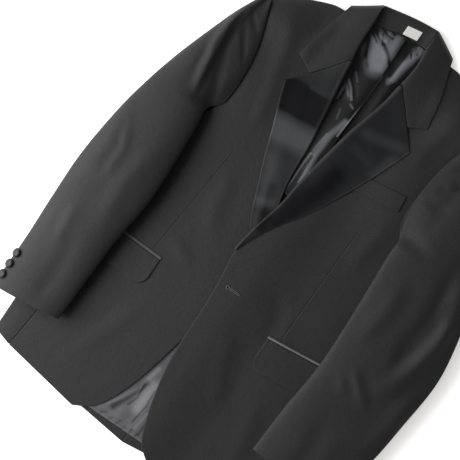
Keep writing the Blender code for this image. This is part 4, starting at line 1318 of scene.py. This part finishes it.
def neck_lining_point(half, s, t):
    """The right half laps over the left one at the pleat, which stands up along its edge."""
    reach = mix(*LINING_REACH, rising(t, 0.6, 0.9))
    x = mix(-reach, PLEAT_EDGE, s) if half == RIGHT else mix(PLEAT_EDGE - PLEAT_WIDTH, reach, s)
    y = mix(LINING_LOW, lining_top_y(x), t)
    z = BACK_TOP + LAYER_GAP + neck_lift(x, y) + 0.2 * rising(y, 300, 330)
    if half == RIGHT:
        z += mix(PLEAT_LAP, PLEAT_RISE, rising(y, LINING_LOW, LINING_LOW + 60)) * rising(x, -26, 8)
    else:
        z += PLEAT_LAP * bump(x, y, *LEFT_HALF_HILL)
    creased = sum(fold(x, y, *row) for row in LINING_FOLDS) * rising(abs(x), 55, 45)
    return x, y, z + max(creased, LINING_FURROW)


HEM_LINING_X, HEM_LINING_Y = (-92, 60), (-371, -196)
HEM_LINING_HILLS = ((2.4, 6, -322, 16, 46), (1.2, -24, -348, 10, 18))


def hem_lining_point(s, t):
    x, y = mix(*HEM_LINING_X, s), mix(*HEM_LINING_Y, t)
    hills = sum(height * bump(x, y, *hill) for height, *hill in HEM_LINING_HILLS)
    return x, y, BACK_TOP + LAYER_GAP + hills

print("Folds in the neck lining:", len(LINING_FOLDS))

# %% Make the lining
for half, name in SIDE_NAMES.items():
    wall(
        "lining_neck_" + name, "lining",
        even(50),
        even(130),
        lambda s, t: laid(LEFT, *neck_lining_point(half, s, t)),
        LINING,
        rounded=False,
    )
wall(
    "lining_hem", "lining",
    even(50),
    even(60),
    lambda s, t: laid(LEFT, *hem_lining_point(s, t)),
    LINING,
    rounded=False,
    finish="hem_lining",
)
print("Lining halves and hem:", size_of("lining_neck_left"), size_of("lining_hem"))

# %% [markdown]
# ## Label and buttons
#
# The label is a small woven rectangle, left plain. A cloth button is a dome of silk gathered over a form.
# Turning half its outline round an axis with spin gives the form in one step, and each cuff button is then
# turned the way its sleeve faces.

# %% Weaves of the label and buttons
LABEL_MIDDLE, LABEL_SIZE, LABEL_WALL = (14.0, 368.0), (24.0, 15.0), 1.0
FRONT_BUTTON_A, FRONT_BUTTON_Y, FRONT_BUTTON_RADIUS, FRONT_BUTTON_HEIGHT = 1.0, -104.0, 10.5, 3.4
CUFF_BUTTON_RADIUS, CUFF_BUTTON_HEIGHT, CUFF_BUTTON_STANDOFF, CUFF_BUTTON_ANGLE = 7.4, 5.0, 0.5, 24.0
CUFF_BUTTON_ROWS = (-232.0, -250.5, -269.0)
LOOK_ROUND, LOOK_ALONG = 8, 10


def label_weave():
    cloth = Finish("label_weave", Roughness=0.7, Specular_IOR_Level=0.3)
    lie = cloth.place("UV")
    warp_threads = cloth.wave(lie, 260.0)
    weft_threads = cloth.wave(cloth.scaled(lie, (1, 1, 1), 90), 260.0)
    weave = warp_threads * 0.5 + weft_threads * 0.5
    cloth.feed("Base Color", cloth.blend(weave, (0.46, 0.45, 0.435), (0.60, 0.59, 0.57)))
    cloth.relief(weave, 0.00008)
    return cloth


def button_cover():
    cloth = Finish("button_cover", Roughness=0.5, Specular_IOR_Level=0.3)
    weave = cloth.noise(cloth.place(), 1500.0, 2.0)
    cloth.feed("Base Color", cloth.blend(weave, (0.003, 0.003, 0.0034), (0.013, 0.013, 0.0142)))
    cloth.relief(weave, 0.00006)
    return cloth


finishes["label"], finishes["covered_button"] = label_weave(), button_cover()
print("Finishes so far:", len(finishes))

# %% Label
def label_point(s, t):
    x = LABEL_MIDDLE[0] + LABEL_SIZE[0] * (s - 0.5)
    y = LABEL_MIDDLE[1] + LABEL_SIZE[1] * (t - 0.5)
    return laid(LEFT, x, y, stand_height(y) + LAYER_GAP)


wall("neck_label", "label", hemmed(8), hemmed(5), label_point, LABEL_WALL)
print("Label cut to", size_of("neck_label"))

# %% A covered button
def covered_button(node, radius, height, middle, out):
    """A domed form with a drawn-in back, spun from its outline."""
    outline = (
        (0.0, 0.50), (0.35, 0.47), (0.66, 0.36), (0.88, 0.16), (1.0, -0.06), (0.95, -0.26), (0.78, -0.42),
        (0.45, -0.48), (0.0, -0.50),
    )
    form = bmesh.new()
    dots = [form.verts.new((radius * r * MM, 0, height * z * MM)) for r, z in outline]
    lines = [form.edges.new(pair) for pair in zip(dots, dots[1:])]
    centre, axis = (0, 0, 0), (0, 0, 1)
    bmesh.ops.spin(form, geom=dots + lines, cent=centre, axis=axis, angle=math.tau, steps=28, use_merge=True)
    bmesh.ops.remove_doubles(form, verts=form.verts, dist=1e-6)
    bmesh.ops.recalc_face_normals(form, faces=form.faces)
    turn = Vector(out).to_track_quat("Z", "Y").to_matrix()
    bmesh.ops.rotate(form, verts=form.verts, cent=centre, matrix=turn)
    bmesh.ops.translate(form, verts=form.verts, vec=middle)
    dressed(node, "covered_button", form)


def sleeve_face(side, angle, y):
    """A point on the sleeve, and the direction that its cloth faces there."""
    here = laid(side, *sleeve_ring(side, angle, y))
    lower, upper = (laid(side, *sleeve_ring(side, angle + turn, y)) for turn in (-LOOK_ROUND, LOOK_ROUND))
    further = laid(side, *sleeve_ring(side, angle, y + LOOK_ALONG))
    out = (upper - lower).cross(further - here).normalized()
    return here, out if out.z > 0 else -out


cuff_lean = math.degrees(sleeve_face(RIGHT, CUFF_BUTTON_ANGLE, CUFF_BUTTON_ROWS[0])[1].angle((0, 0, 1)))
print("The right cuff's buttons lean by", round(cuff_lean), "degrees")

# %% Sew the buttons on
button_rest = front_top(RIGHT, FRONT_BUTTON_A, FRONT_BUTTON_Y) + LAYER_GAP + FRONT_BUTTON_HEIGHT / 2
covered_button(
    "front_button",
    FRONT_BUTTON_RADIUS,
    FRONT_BUTTON_HEIGHT,
    laid(RIGHT, FRONT_BUTTON_A, FRONT_BUTTON_Y, button_rest),
    (0, 0, 1),
)
for side, name in SIDE_NAMES.items():
    for number, y in enumerate(CUFF_BUTTON_ROWS, 1):
        here, out = sleeve_face(side, CUFF_BUTTON_ANGLE, y)
        covered_button(
            f"cuff_button_{name}_{number}",
            CUFF_BUTTON_RADIUS,
            CUFF_BUTTON_HEIGHT,
            here + out * (CUFF_BUTTON_HEIGHT / 2 + CUFF_BUTTON_STANDOFF) * MM,
            out,
        )
print("Buttons sewn on:", 1 + len(SIDE_NAMES) * len(CUFF_BUTTON_ROWS))

# %% [markdown]
# ## What each piece was cut to
#
# Cloth keeps its size however it lies, and each piece's size is what its threads measure. A jet is too
# narrow to be a sheet of its own and goes with the front that it is sewn to. The loop below works out what
# each sheet lies on and what is sewn to it, but keeps none of it.

LIES_ON = {
    "front": "back_{side}_cloth",
    "lapel": "front_{side}_cloth",
    "collar": "front_{side}_cloth",
    "sleeve": "front_{side}_cloth",
    "flap": "front_{side}_cloth",
    "breast": "front_left_cloth",
    "lining": "back_left_cloth",
    "neck": "collar_back_cloth",
    "back": "table",
    "side": "table",
}
sheets = {node: made for node, made in cut.items() if not node.startswith("jet")}
for node, (piece, width, length, area) in sheets.items():
    kind, side_name = node.split("_")[0], node.split("_")[-1]
    below = "table" if node == "collar_back" else LIES_ON[kind].format(side=side_name)
    sewn_on = [cut["jet_" + side_name][0]] if kind == "front" else []
print("Sheets of cloth:", len(sheets))

# %% [markdown]
# ## The table
#
# The jacket lies on a plain pale surface, wide enough that no edge shows. It also glows faintly in a warm
# white though it is no lamp: painted light that washes the soft shadow beside the sleeves nearly out and
# warms what is left of it.

# %% Table
# The table's glow is painted light, not a lamp: it fills the shadows on the table.
TABLE_GLOW, TABLE_HALF, TABLE_DROP = (1.0, 0.975, 0.94, 1.0), 2.5, -0.0004
table_finish = Finish("table", Roughness=0.8, Emission_Color=TABLE_GLOW, Emission_Strength=0.45)
table_cloud = table_finish.noise(table_finish.place(), 1.2, 2.0)
table_finish.feed("Base Color", table_finish.blend(table_cloud, (0.90, 0.89, 0.875), (0.93, 0.92, 0.905)))
board = bmesh.new()
bmesh.ops.create_grid(board, x_segments=1, y_segments=1, size=TABLE_HALF)
bmesh.ops.translate(board, verts=board.verts, vec=(0, 0, TABLE_DROP))
table_mesh = bpy.data.meshes.new("table")
board.to_mesh(table_mesh)
board.free()
table_mesh.materials.append(table_finish.material)
table = bpy.data.objects.new("table", table_mesh)
bpy.context.scene.collection.objects.link(table)
print("The table is", 2 * TABLE_HALF, "m wide")
